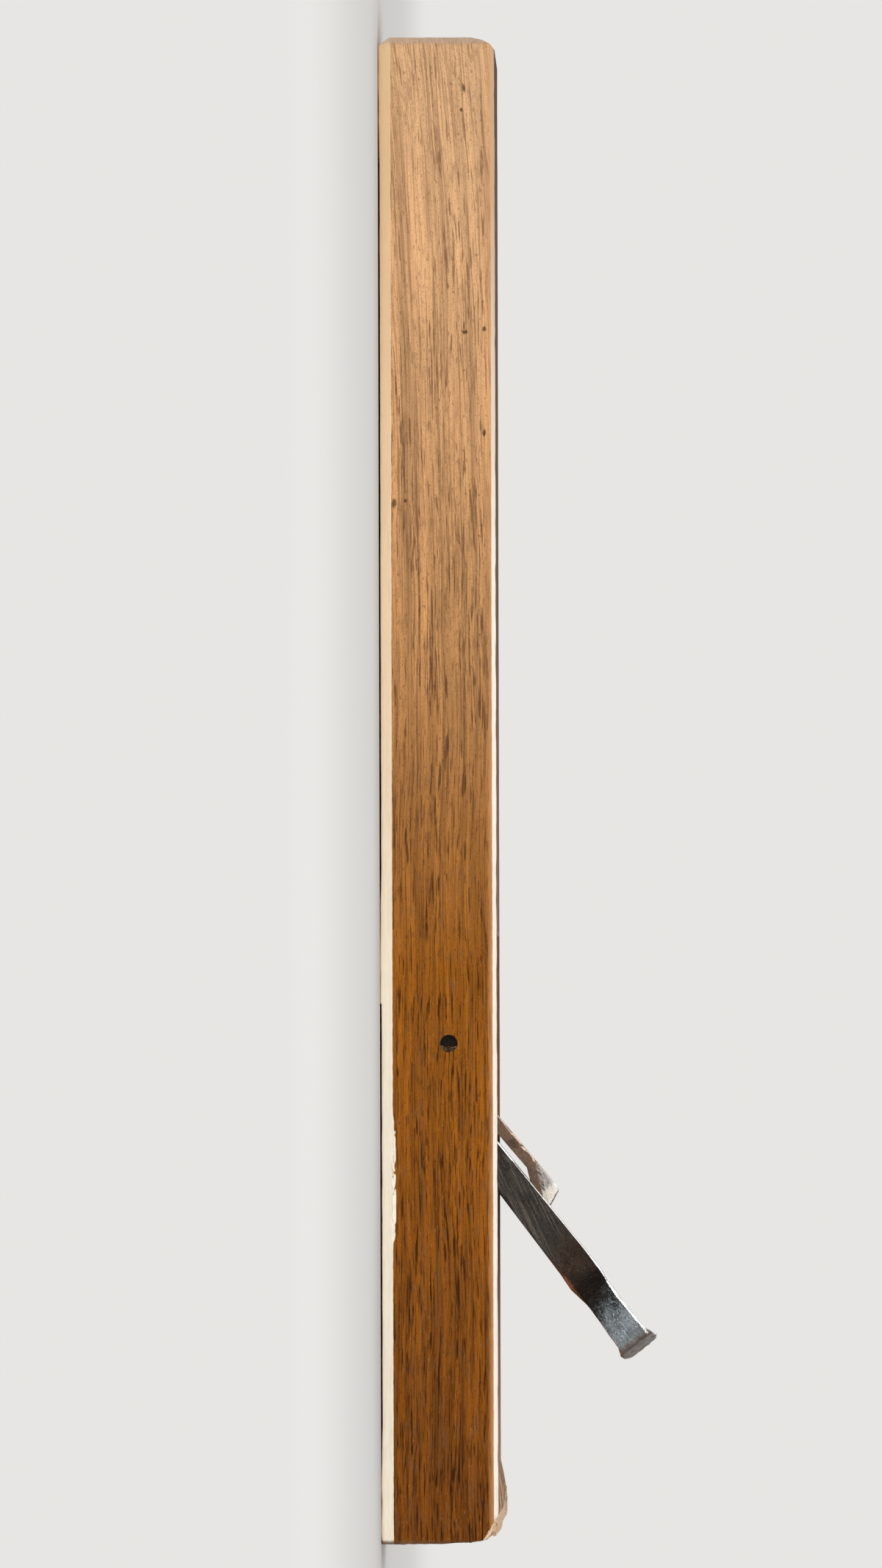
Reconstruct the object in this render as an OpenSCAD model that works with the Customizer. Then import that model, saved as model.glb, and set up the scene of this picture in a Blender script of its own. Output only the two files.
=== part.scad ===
// A long-bodied Japanese hand plane: an oak body, a wedge-shaped laminated blade that is held by
// friction in grooves in the side walls, a chipbreaker, and the cross pin that holds it down.
// X runs along the body: the leading end is at -X and the struck end at +X. The sole lies on
// Z = 0, and the origin is at the middle of the sole.

/* [Body] */
// Length of the body, from the leading end to the struck end
dai_l = 424; // [360:1:510]
// Width of the body
dai_w = 82; // [80:1:100]
// Height of the body, from the sole to the top face
dai_h = 33; // [29:0.5:40]
// Distance from the leading end to the line where the blade's face meets the sole
edge_from_front = 270; // [220:1:280]
// Chamfer along the two long edges of the sole
sole_chamfer = 3.5; // [0.5:0.1:5]
// Chamfer along the two long edges of the top face
top_chamfer = 1.2; // [0.3:0.1:2.5]
// Chamfer round the leading end, along the body
lead_chamfer = 2; // [0.5:0.1:4]
// Chamfer round the struck end, along the body
struck_chamfer = 0.8; // [0.3:0.1:2]
// Height of the bevel that hammer blows have left above the struck end
struck_bevel = 3.2; // [1:0.1:6]
// How far blows have driven the struck end back, at its upper edge
end_setback = 1.2; // [0.3:0.1:3]
// Rise of the swelling that hammer blows have raised on the top face
swell_rise = 2.2; // [0.4:0.1:2.5]
// Length of the drying check in the struck end
check_l = 14; // [5:1:30]

/* [Sole] */
// Length of the bearing strip at each end of the sole
bearing_l = 12; // [6:1:30]
// Length of the bearing strip just ahead of the mouth
mouth_bearing = 14; // [6:1:30]
// Depth of the relieved stretches between the bearing strips
sole_relief = 0.45; // [0.1:0.05:0.6]
// Length over which the sole falls away from a bearing strip
relief_run = 24; // [10:1:40]

/* [Throat and bed] */
// Slope of the blade's face above the sole, in degrees
face_angle = 39; // [37.5:0.5:44]
// Slope of the bed above the sole, in degrees
bed_angle = 37; // [34:0.5:37.5]
// Gap between the cutting edge's line and the front lip of the mouth
mouth_gap = 0.9; // [0.3:0.1:3]
// Width of the mouth and of the throat
mouth_w = 62; // [56:0.5:64]
// Height of the steep lip above the mouth
lip_h = 7; // [3:0.5:10]
// Slope of that lip, in degrees
lip_angle = 80; // [70:1:88]
// Slope of the throat's front wall above the lip, in degrees
throat_angle = 58; // [50:1:70]
// Height above the sole at which the side grooves stop
groove_stop = 1.2; // [0.8:0.1:1.4]
// Running gap between the blade's face and the front wall of the grooves
groove_gap = 0.15; // [0.05:0.05:0.3]
// Gap between each side of the blade and the groove's floor
side_gap = 0.5; // [0.2:0.1:0.8]
// Gap between the blade's back and the bed
bed_gap = 0.05; // [0.02:0.01:0.1]

/* [Blade] */
// Width of the blade
blade_w = 70; // [66:1:72]
// Length of the blade, from the cutting edge to the head
blade_l = 123.5; // [105:0.5:140]
// Thickness of the blade's wedge where its face meets the sole
blade_t = 6.7; // [5:0.1:9]
// Height of the cutting edge above the sole, with the blade backed off
edge_lift = 0.2; // [0.1:0.05:0.5]
// Angle of the ground bevel to the blade's face, in degrees
grind_angle = 29; // [26:1:32]
// Width of the cutting edge between the ground corners
edge_w = 61; // [50:0.5:61]
// Length of each ground corner before it flares
corner_l = 5.5; // [5:0.5:8]
// Length of the flare from a ground corner to the full width
flare_l = 8.5; // [6:0.5:14]
// Length of the head beyond the shoulders
head_l = 26; // [16:1:32]
// Width of the head
head_w = 65; // [58:0.5:66]
// Rise of the head's curved end
head_arch = 2.5; // [1:0.1:5]
// How far the shoulders stand proud of the blade's back
shoulder_swell = 0.3; // [0.1:0.1:0.6]
// How far the head's front face lies below the blade's face
head_step = 0.9; // [0.2:0.1:1.4]
// How far the hammered rim of the head stands proud of the blade's faces
rim_swell = 0.4; // [0.1:0.1:0.8]
// Thickness of the hard steel layer
steel_t = 2.4; // [1:0.1:3.5]
// Length of the hard steel layer, along the blade's face
steel_l = 60; // [40:1:70]
// Length of the scarf that ends the hard steel layer
scarf_l = 9; // [3:1:14]
// Depth of the hollow in the blade's face
hollow_t = 0.4; // [0.1:0.05:0.6]
// Width of the flat that surrounds the hollow
hollow_rim = 5; // [3:0.5:9]

/* [Chipbreaker] */
// Width of the chipbreaker
breaker_w = 61; // [50:0.5:61]
// Length of the chipbreaker, from its edge to its top end
breaker_l = 71; // [66:0.5:82]
// Thickness of the chipbreaker under the cross pin
breaker_t = 3.8; // [3:0.1:5]
// How far its edge lies behind the cutting edge
set_back = 1; // [0.5:0.1:2]
// Slope between the chipbreaker's underside and the blade's face, in degrees
under_rise = 1.5; // [1:0.1:2.5]
// Slope between the chipbreaker's upper side and the blade's face, in degrees
upper_rise = 0.8; // [0.5:0.1:1.4]
// Angle of its main bevel to its underside, in degrees
breaker_bevel = 27; // [20:1:35]
// Height of the small steep bevel at its edge
micro_bevel = 0.5; // [0.2:0.1:0.8]
// Length of each folded corner, along the chipbreaker's side
ear_l = 9; // [8:1:16]
// Width of each folded corner, along the chipbreaker's top end
ear_w = 12; // [8:0.5:18]
// How far the hammered corners reach past the chipbreaker's top end
ear_reach = 3; // [0:0.1:4]
// Angle by which the corners are folded towards the blade, in degrees
ear_fold = 32; // [25:1:48]
// Running gap between the chipbreaker and the blade's face
breaker_gap = 0.05; // [0.02:0.01:0.1]
// Thickness of the chipbreaker's hard steel layer
breaker_steel_t = 1; // [0.6:0.1:1.6]
// Length of the chipbreaker's hard steel layer
breaker_steel_l = 32; // [15:1:45]

/* [Cross pin] */
// Diameter of the cross pin
pin_d = 4.5; // [4:0.1:6]
// Distance of the pin from the sole, along the blade's face
pin_up = 22.7; // [20:0.1:30]
// Gap between the pin and the chipbreaker
pin_gap = 0.05; // [0.02:0.01:0.1]
// Depth by which each end of the pin lies below the side of the body
pin_recess = 1.4; // [0.5:0.1:3]
// How much wider than the pin the opened-out hole over each of its ends is
recess_extra = 0.5; // [0.2:0.1:3]

/* [Hidden] */
$fn = 96;
ARC_FN = 360;

// Allowance by which a cutting shape runs past the surface that it opens
past = 2;

front_x = -dai_l / 2;
back_x = dai_l / 2;
edge_x = front_x + edge_from_front;
taper = face_angle - bed_angle;

// The blade's own plane: u runs up its face from the sole, and h stands square to the face
function face_x(u, h) = edge_x + u * cos(face_angle) - h * sin(face_angle);
function face_z(u, h) = u * sin(face_angle) + h * cos(face_angle);

// Height of the blade's back below its face, at a distance up the face
function back_h(u) = -blade_t - u * tan(taper);

// The bed's line, as its X at a height above the sole
bed_foot_x = face_x(0, -blade_t - bed_gap) - face_z(0, -blade_t - bed_gap) / tan(bed_angle);
function bed_x(z) = bed_foot_x + z / tan(bed_angle);

// The front wall of the side grooves, as its X at a height above the sole
function groove_x(z) = edge_x + (z * cos(face_angle) - groove_gap) / sin(face_angle);
function groove_mid_x(z) = (groove_x(z) + bed_x(z)) / 2;

// Places along the blade's face
edge_u = edge_lift / sin(face_angle);
heel_u = (blade_t + edge_u * tan(grind_angle)) / (tan(grind_angle) - tan(taper));
head_u = edge_u + blade_l;
shoulder_u = head_u - head_l;
arch_r = (pow(head_w / 2, 2) + pow(head_arch, 2)) / (2 * head_arch);

// The chipbreaker's own plane: x runs up its underside from its edge, and z stands square to it
breaker_u = edge_u + set_back;
upper_taper = upper_rise - under_rise;
pin_x_b = (pin_up - breaker_u) * cos(under_rise);
function upper_z(x) = breaker_t + (x - pin_x_b) * tan(upper_taper);

// The pin rests on the chipbreaker's upper side
pin_z_b = breaker_t + (pin_d / 2 + pin_gap) / cos(upper_taper);
pin_u = breaker_u + pin_x_b * cos(under_rise) - pin_z_b * sin(under_rise);
pin_h = breaker_gap + pin_x_b * sin(under_rise) + pin_z_b * cos(under_rise);

// Extrudes an outline that is drawn in X and Z, centred across the body
module across(w) {
    rotate([90, 0, 0])
        linear_extrude(height = w, center = true)
            children();
}

// Places children that are drawn in the blade's own plane
module on_face() {
    translate([edge_x, 0, 0])
        rotate([0, -face_angle, 0])
            children();
}

// Places children that are drawn in the chipbreaker's own plane
module on_breaker() {
    on_face()
        translate([breaker_u, 0, breaker_gap])
            rotate([0, -under_rise, 0])
                children();
}

// Side view of the body, with the relieved sole and the worn ends
module dai_side() {
    // Worn corners of the leading end
    lead_rise = 3.3;
    toe_l = lead_chamfer + 0.4;
    nose_l = lead_chamfer + 1.6;
    nose_drop = 1.3;
    // Height below which the struck end is still square
    square_z = dai_h / 2;
    lean_z = dai_h - 2.3 * struck_bevel;
    polygon([
        [front_x, lead_rise],
        [front_x + toe_l, 0],
        [front_x + bearing_l, 0],
        [front_x + bearing_l + relief_run, sole_relief],
        [edge_x - mouth_bearing - relief_run, sole_relief],
        [edge_x - mouth_bearing, 0],
        [edge_x + past, 0],
        [edge_x + past, sole_relief],
        [back_x - bearing_l - relief_run, sole_relief],
        [back_x - bearing_l, 0],
        [back_x, 0],
        [back_x, square_z],
        [back_x - end_setback / 2, lean_z],
        [back_x - end_setback, dai_h - struck_bevel],
        [back_x - end_setback - struck_bevel, dai_h],
        [front_x + nose_l, dai_h],
        [front_x + lead_chamfer, dai_h - nose_drop],
        [front_x + 0.4 * lead_chamfer, dai_h - lead_rise],
        [front_x, dai_h - 2 * lead_rise],
    ]);
}

// End view of the body, with its long chamfers
module dai_end() {
    half = dai_w / 2;
    polygon([
        [-half + sole_chamfer, 0],
        [half - sole_chamfer, 0],
        [half, sole_chamfer],
        [half, dai_h - top_chamfer],
        [half - top_chamfer, dai_h],
        [-half + top_chamfer, dai_h],
        [-half, dai_h - top_chamfer],
        [-half, sole_chamfer],
    ]);
}

// Plan of the body, with the chamfers round its two ends
module dai_plan() {
    half = dai_w / 2;
    polygon([
        [front_x, -half + lead_chamfer],
        [front_x + lead_chamfer, -half],
        [back_x - struck_chamfer, -half],
        [back_x, -half + struck_chamfer],
        [back_x, half - struck_chamfer],
        [back_x - struck_chamfer, half],
        [front_x + lead_chamfer, half],
        [front_x, half - lead_chamfer],
    ]);
}

module dai_block() {
    intersection() {
        across(dai_w + past) dai_side();
        rotate([90, 0, 90])
            linear_extrude(height = dai_l + past, center = true)
                dai_end();
        translate([0, 0, -past])
            linear_extrude(height = dai_h + 2 * past)
                dai_plan();
    }
}

// The low crown that hammer blows have raised on the top face near the struck end
module struck_swelling() {
    half_l = 16;
    side_margin = 3;
    half_w = dai_w / 2 - side_margin;
    r_across = half_w * half_w / (2 * swell_rise);
    r_along = half_l * half_l / (2 * swell_rise);
    crown_back = 9;
    mid_x = back_x - crown_back;
    start_x = mid_x - half_l - past;
    end_gap = 1;
    end_x = back_x - end_setback - end_gap;
    root = 1.5;
    top_z = dai_h + swell_rise + root;
    end_lean = 4;
    intersection() {
        translate([mid_x, 0, dai_h + swell_rise - r_across])
            rotate([0, 90, 0])
                rotate_extrude($fn = ARC_FN)
                    translate([r_across - r_along, 0])
                        circle(r = r_along, $fn = ARC_FN);
        across(dai_w)
            polygon([
                [start_x, dai_h - root],
                [end_x, dai_h - root],
                [end_x - end_lean, top_z],
                [start_x, top_z],
            ]);
    }
}

// The throat, which opens upwards from the mouth to the top face
module throat_side() {
    top_z = dai_h + 2 * past;
    lip_x = edge_x - mouth_gap;
    lip_top_x = lip_x - lip_h / tan(lip_angle);
    // Above the foot of the grooves, the bed is cut by them alone
    foot_z = 2 * groove_stop;
    polygon([
        [lip_x, -past],
        [lip_x, 0],
        [lip_top_x, lip_h],
        [lip_top_x - (top_z - lip_h) / tan(throat_angle), top_z],
        [groove_mid_x(top_z), top_z],
        [groove_mid_x(foot_z), foot_z],
        [bed_x(groove_stop), groove_stop],
        [bed_x(-past), -past],
    ]);
}

// The grooves in the side walls, which hold the edges of the blade
module groove_side() {
    top_z = dai_h + 2 * past;
    polygon([
        [groove_x(groove_stop), groove_stop],
        [groove_x(top_z), top_z],
        [bed_x(top_z), top_z],
        [bed_x(groove_stop), groove_stop],
    ]);
}

// The pin's line across the body, for a pin or for the holes that take it
module along_pin(d, l) {
    translate([face_x(pin_u, pin_h), 0, face_z(pin_u, pin_h)])
        rotate([90, 0, 0])
            cylinder(d = d, h = l, center = true);
}

// The opened-out hole over each end of the pin
module pin_recesses() {
    for (side = [-1, 1])
        translate([0, side * (dai_w / 2 - pin_recess / 2 + past / 2), 0])
            along_pin(pin_d + recess_extra, pin_recess + past);
}

// The drying check, which runs in from the struck end near the top face
module drying_check() {
    check_w = 0.35;
    check_deep = 5;
    check_drop = 4.6;
    tip_rise = 0.4;
    check_z = dai_h - check_drop;
    translate([0, -dai_w / 2 + check_deep / 2 - past / 2, 0])
        across(check_deep + past)
            polygon([
                [back_x - check_l, check_z + tip_rise],
                [back_x + past, check_z - check_w / 2],
                [back_x + past, check_z + check_w / 2],
            ]);
}

module dai() {
    color([0.58, 0.37, 0.18])
        difference() {
            union() {
                dai_block();
                struck_swelling();
            }
            across(mouth_w) throat_side();
            across(blade_w + 2 * side_gap) groove_side();
            along_pin(pin_d, dai_w + past);
            pin_recesses();
            drying_check();
        }
}

module cross_pin() {
    color([0.20, 0.17, 0.15])
        along_pin(pin_d, dai_w - 2 * pin_recess);
}

// Side view of the whole blade: a wedge with shoulders, a thinner head and a hammered rim
module blade_side() {
    // Lengths of the step down from the shoulders to the head, on the face and on the back
    face_step_l = 10;
    face_ramp_l = 4;
    back_step_l = 7;
    swell_l = 5;
    // Lengths of the mushroomed rim, from the middle of the struck end
    rim_root_l = 4.5;
    rim_l = 2;
    lip_l = 1;
    dome_l = 0.3;
    back_lip_l = 1.2;
    back_lip_drop = 0.4;
    back_rim_l = 2.6;
    back_root_l = 5;
    rim = back_h(head_u) - rim_swell;
    polygon([
        [edge_u, 0],
        [shoulder_u, 0],
        [shoulder_u + face_ramp_l, -head_step / 2],
        [shoulder_u + face_step_l, -head_step],
        [head_u - rim_root_l, -head_step],
        [head_u - rim_l, rim_swell / 2],
        [head_u - lip_l, rim_swell],
        [head_u - dome_l, 0],
        [head_u, -blade_t / 2],
        [head_u - dome_l, rim + blade_t / 3],
        [head_u - back_lip_l, rim + back_lip_drop],
        [head_u - back_rim_l, rim],
        [head_u - back_root_l, back_h(head_u) + head_step / 2],
        [shoulder_u + back_step_l, back_h(shoulder_u) + head_step / 2],
        [shoulder_u, back_h(shoulder_u) - shoulder_swell],
        [shoulder_u - swell_l, back_h(shoulder_u - swell_l)],
        [heel_u, back_h(heel_u)],
    ]);
}

// Plan of the blade, with ground corners at the edge and a narrower, curved head
module blade_plan() {
    half = blade_w / 2;
    half_edge = edge_w / 2;
    half_head = head_w / 2;
    shoulder_l = 5;
    shoulder_root = 0.5;
    corner_cut = 1;
    head_corner = 3;
    outline = [
        [edge_u - past, half_edge],
        [edge_u + corner_l, half_edge],
        [edge_u + corner_l + flare_l, half],
        [shoulder_u, half],
        [shoulder_u + shoulder_l, half_head + shoulder_root],
        [head_u - 2 * head_corner, half_head],
        [head_u - head_corner, half_head - corner_cut],
        [head_u + past, half_head - head_corner - past],
    ];
    intersection() {
        polygon(concat(outline, [for (i = [len(outline) - 1:-1:0]) [outline[i][0], -outline[i][1]]]));
        translate([head_u - arch_r, 0])
            circle(r = arch_r, $fn = ARC_FN);
    }
}

module blade_blank() {
    deep = 2 * blade_t + past;
    intersection() {
        across(blade_w + past) blade_side();
        translate([0, 0, -deep])
            linear_extrude(height = deep + past)
                blade_plan();
    }
}

// The room that the hard steel layer takes up in the blade
module steel_room() {
    across(blade_w + 2 * past)
        polygon([
            [edge_u - past, past],
            [edge_u + steel_l, past],
            [edge_u + steel_l, 0],
            [edge_u + steel_l - scarf_l, -steel_t],
            [edge_u - past, -steel_t],
        ]);
}

// The hollow in the blade's face, with an arched upper end
module face_hollow() {
    half = blade_w / 2 - hollow_rim;
    edge_flat = 6;
    arch_flat = 2;
    start_u = edge_u + edge_flat;
    arch_u = edge_u + steel_l - scarf_l - half - arch_flat;
    r_hollow = 600;
    mid_u = (start_u + arch_u + half) / 2;
    intersection() {
        translate([0, 0, -hollow_t])
            linear_extrude(height = hollow_t + past) {
                translate([arch_u, 0]) circle(r = half);
                translate([start_u, -half]) square([arch_u - start_u, 2 * half]);
            }
        translate([mid_u, 0, r_hollow - hollow_t])
            rotate([90, 0, 0])
                cylinder(r = r_hollow, h = blade_w, center = true, $fn = ARC_FN * 3);
    }
}

module blade_iron() {
    color([0.33, 0.31, 0.30])
        on_face()
            difference() {
                blade_blank();
                steel_room();
            }
}

module blade_steel() {
    color([0.62, 0.63, 0.65])
        on_face()
            difference() {
                intersection() {
                    blade_blank();
                    steel_room();
                }
                face_hollow();
            }
}

// Side view of the chipbreaker's plate, with its two bevels
module breaker_side() {
    micro_angle = 55;
    micro_x = micro_bevel / tan(micro_angle);
    bevel_x = (upper_z(0) - micro_bevel + micro_x * tan(breaker_bevel))
        / (tan(breaker_bevel) - tan(upper_taper));
    end_round = 2;
    end_ease = 0.3 * end_round;
    end_drop = 0.4 * end_round;
    polygon([
        [0, 0],
        [micro_x, micro_bevel],
        [bevel_x, upper_z(bevel_x)],
        [breaker_l - end_round, upper_z(breaker_l)],
        [breaker_l - end_ease, upper_z(breaker_l) - end_drop],
        [breaker_l, upper_z(breaker_l) - end_round],
        [breaker_l, 0],
    ]);
}

// Plan of the plate without its folded corners
module breaker_plan() {
    // The fold's line runs on past the side and past the top end
    wide = breaker_w / 2 + past;
    narrow = breaker_w / 2 - ear_w - past * ear_w / ear_l;
    fold_x = breaker_l - ear_l - past * ear_l / ear_w;
    polygon([
        [-past, -wide],
        [fold_x, -wide],
        [breaker_l + past, -narrow],
        [breaker_l + past, narrow],
        [fold_x, wide],
        [-past, wide],
    ]);
}

// One folded corner, with the bend that joins it to the plate
module ear() {
    fold_l = norm([ear_l, ear_w]);
    fold_turn = atan2(ear_w, ear_l);
    ear_t = upper_z(breaker_l - ear_l / 2);
    corner = (ear_l + ear_reach) * [cos(fold_turn), -sin(fold_turn)];
    // The bend turns a little way into the plate and into the ear, and both run out past the side
    lap = 1;
    run_out = 1;
    // The hammered bend lies a little lower than the plate's upper side
    bend_t = ear_t - 0.15;
    translate([breaker_l - ear_l, -breaker_w / 2, 0])
        rotate([0, 0, fold_turn]) {
            rotate([ear_fold, 0, 0])
                linear_extrude(height = ear_t)
                    polygon([[-run_out, 0], [fold_l, 0], corner]);
            rotate([0, -90, 180])
                rotate([0, 0, -lap])
                    rotate_extrude(angle = ear_fold + 2 * lap)
                        translate([0, -run_out])
                            square([bend_t, fold_l + run_out]);
        }
}

module breaker_blank() {
    // The ears are filed flat where they meet the blade's face, and flush with the plate's edges
    tall = 4 * breaker_t;
    intersection() {
        on_breaker()
            union() {
                intersection() {
                    across(breaker_w + past) breaker_side();
                    translate([0, 0, -past])
                        linear_extrude(height = breaker_t + 2 * past)
                            breaker_plan();
                }
                ear();
                mirror([0, 1, 0]) ear();
            }
        on_breaker()
            translate([-past, -breaker_w / 2, -tall / 2])
                cube([breaker_l + ear_reach + 2 * past, breaker_w, tall]);
        on_face()
            translate([-past, -breaker_w, breaker_gap])
                cube([2 * breaker_l, 2 * breaker_w, tall]);
    }
}

// The room that the hard steel layer takes up in the chipbreaker
module breaker_steel_room() {
    on_breaker()
        across(breaker_w + 2 * past)
            polygon([
                [-past, -past],
                [breaker_steel_l, -past],
                [breaker_steel_l, 0],
                [breaker_steel_l - scarf_l / 2, breaker_steel_t],
                [-past, breaker_steel_t],
            ]);
}

module chipbreaker_iron() {
    color([0.36, 0.27, 0.21])
        difference() {
            breaker_blank();
            breaker_steel_room();
        }
}

module chipbreaker_steel() {
    color([0.55, 0.55, 0.56])
        intersection() {
            breaker_blank();
            breaker_steel_room();
        }
}

dai();
cross_pin();
blade_iron();
blade_steel();
chipbreaker_iron();
chipbreaker_steel();
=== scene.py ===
"""A long-bodied Japanese hand plane: worn oak body, forged blade, chipbreaker and cross pin.

Lengths in the dataclasses are millimetres, and MM turns them into Blender's metres. X runs along
the body from the leading end to the struck end, and the sole lies on Z = 0. A Span is a low and a
high value: where something starts and where it is full, or what 0 and 1 are turned into.
"""

from __future__ import annotations

import logging
import math
import random
from dataclasses import dataclass
from enum import Enum
from typing import Callable, Iterable, Sequence, Union

import bmesh
import bpy
from mathutils import Matrix, Vector, noise


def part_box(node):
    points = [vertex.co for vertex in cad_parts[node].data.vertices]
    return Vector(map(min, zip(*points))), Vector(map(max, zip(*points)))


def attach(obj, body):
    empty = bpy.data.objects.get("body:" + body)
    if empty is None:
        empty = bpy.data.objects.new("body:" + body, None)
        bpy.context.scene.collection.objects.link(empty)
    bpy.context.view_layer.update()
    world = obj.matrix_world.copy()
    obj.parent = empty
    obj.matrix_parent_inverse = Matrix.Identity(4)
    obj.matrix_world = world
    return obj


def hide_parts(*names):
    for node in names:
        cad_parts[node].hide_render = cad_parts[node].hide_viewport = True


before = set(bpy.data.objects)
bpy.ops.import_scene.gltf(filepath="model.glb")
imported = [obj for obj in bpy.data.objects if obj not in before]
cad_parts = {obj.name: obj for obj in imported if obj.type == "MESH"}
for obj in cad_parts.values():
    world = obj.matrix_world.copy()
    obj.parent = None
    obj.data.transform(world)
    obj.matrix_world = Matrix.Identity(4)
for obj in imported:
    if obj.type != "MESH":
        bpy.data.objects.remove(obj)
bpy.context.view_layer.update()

log = logging.getLogger("plane")

MM = 0.001
TINY = 0.001

# Sizes that the meshes and the finishes share
HALF_L = 212.0
HALF_W = 41.0
TOP_Z = 33.0
SOLE_CUT = 3.5
TOP_CUT = 1.2
STRUCK_CUT = 3.2
STRUCK_BACK = 1.2
BEVEL_LINE = HALF_L - STRUCK_BACK + TOP_Z - STRUCK_CUT
TORN_Z = 28.6
TORN_REACH = 0.85
TORN_SLOPE = 0.45
HOLE_X = 71.3
HOLE_Z = 19.4
BLADE_L = 123.8
BLADE_HALF_W = 35.0
SHOULDER = 97.8
BREAKER_HALF_W = 30.5
BREAKER_THICK = 3.8
BREAKER_THIN_FROM = 21.0
BREAKER_TAPER = math.tan(math.radians(0.7))
DIAGONAL = math.sqrt(0.5)

Tree = bpy.types.NodeTree
Socket = bpy.types.NodeSocket
Material = bpy.types.Material
Piece = bpy.types.Object
Number = Union[float, Socket]
Span = tuple[float, float]
Size = tuple[float, float, float]
Colour = tuple[float, float, float]
Shade = Union[Colour, Socket]
Stops = Sequence[tuple[float, Colour]]


def paint(red: int, green: int, blue: int) -> Colour:
    """Turn a colour as a screen shows it, 0 to 255, into Blender's linear values."""

    def linear(value: int) -> float:
        """Take the screen's gamma off one channel."""
        share = value / 255.0
        return share / 12.92 if share <= 0.04045 else ((share + 0.055) / 1.055) ** 2.4

    return linear(red), linear(green), linear(blue)


def ease(value: float, low: float, high: float) -> float:
    """Rise smoothly from 0 at low to 1 at high."""
    share = min(1.0, max(0.0, (value - low) / (high - low)))
    return share * share * (3.0 - 2.0 * share)


def fade(distance: float, reach: float) -> float:
    """Fade from 1 at no distance to about a third at the reach."""
    return math.exp(-((distance / reach) ** 2))


def rough(point: Vector, size: Size) -> float:
    """Give layered noise from 0 to 1, whose grains have the given sizes along X, Y and Z."""
    place = Vector(part / grain for part, grain in zip(point, size))
    value = noise.fractal(place, 1.0, 2.0, 3, noise_basis="PERLIN_ORIGINAL")
    return min(1.0, max(0.0, 0.5 + 0.5 * value))


def hollow(point: Vector, size: float, narrow: float) -> float:
    """Give round hollows from 0 to 1, scattered by size, and the smaller the larger narrow is."""
    near = noise.voronoi(point / size)[0][0]
    return max(0.0, 1.0 - narrow * near * near)


def steps(start: float, stop: float, step: float) -> list[float]:
    """List even places from start up to stop."""
    return [start + step * count for count in range(int((stop - start) / step) + 1)]


@dataclass(frozen=True)
class Plate:
    """A frame in which X runs up a sloping plate from its edge and Z stands square to its face."""

    angle: float
    edge_x: float
    edge_z: float = 0.0

    def inward(self) -> Matrix:
        """Give the turn from the object's frame into the plate's."""
        start = Matrix.Translation(Vector((-self.edge_x, 0.0, -self.edge_z)) * MM)
        return Matrix.Rotation(self.angle, 4, "Y") @ start

    def shift(self) -> Size:
        """Give the move that brings the turned edge to the origin."""
        return tuple(-(Matrix.Rotation(self.angle, 3, "Y") @ Vector((self.edge_x, 0.0, self.edge_z))))


BLADE_PLATE = Plate(math.radians(39.0), 58.0)
BREAKER_PLATE = Plate(math.radians(40.5), 59.05, 0.87)


@dataclass(frozen=True)
class Grain:
    """Noise in the solid of a piece.

    Attributes:
        size: A grain's size along X, Y and Z.
        detail: Number of finer layers.
        twist: How far the grains are drawn out of shape.
        shows: Where the noise starts to show and where it shows in full, or None for all of it.
    """

    size: Size
    detail: float = 2.0
    twist: float = 0.0
    shows: Span | None = None


@dataclass(frozen=True)
class Tone:
    """A layer that darkens and lightens by a pattern.

    Attributes:
        pattern: The pattern's name.
        shades: What the colour is multiplied by where the pattern is 0 and where it is 1.
        amount: How much of the shading shows.
    """

    pattern: str
    shades: Span
    amount: float | Span


@dataclass(frozen=True)
class Stain:
    """A layer of one colour, or of colours that change along the piece, where a pattern shows.

    Attributes:
        pattern: The pattern's name.
        colour: The colour or the colours.
        amount: How strongly it shows.
        edge: Where the pattern starts to show and where it is full, or None for all of it.
    """

    pattern: str
    colour: Colour | Stops
    amount: float | Span = 1.0
    edge: Span | None = None


Layers = Sequence[Union[Tone, Stain]]


class Blend(Enum):
    """Ways in which one colour is laid over another."""

    OVER = "MIX"
    DARKEN = "MULTIPLY"


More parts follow.
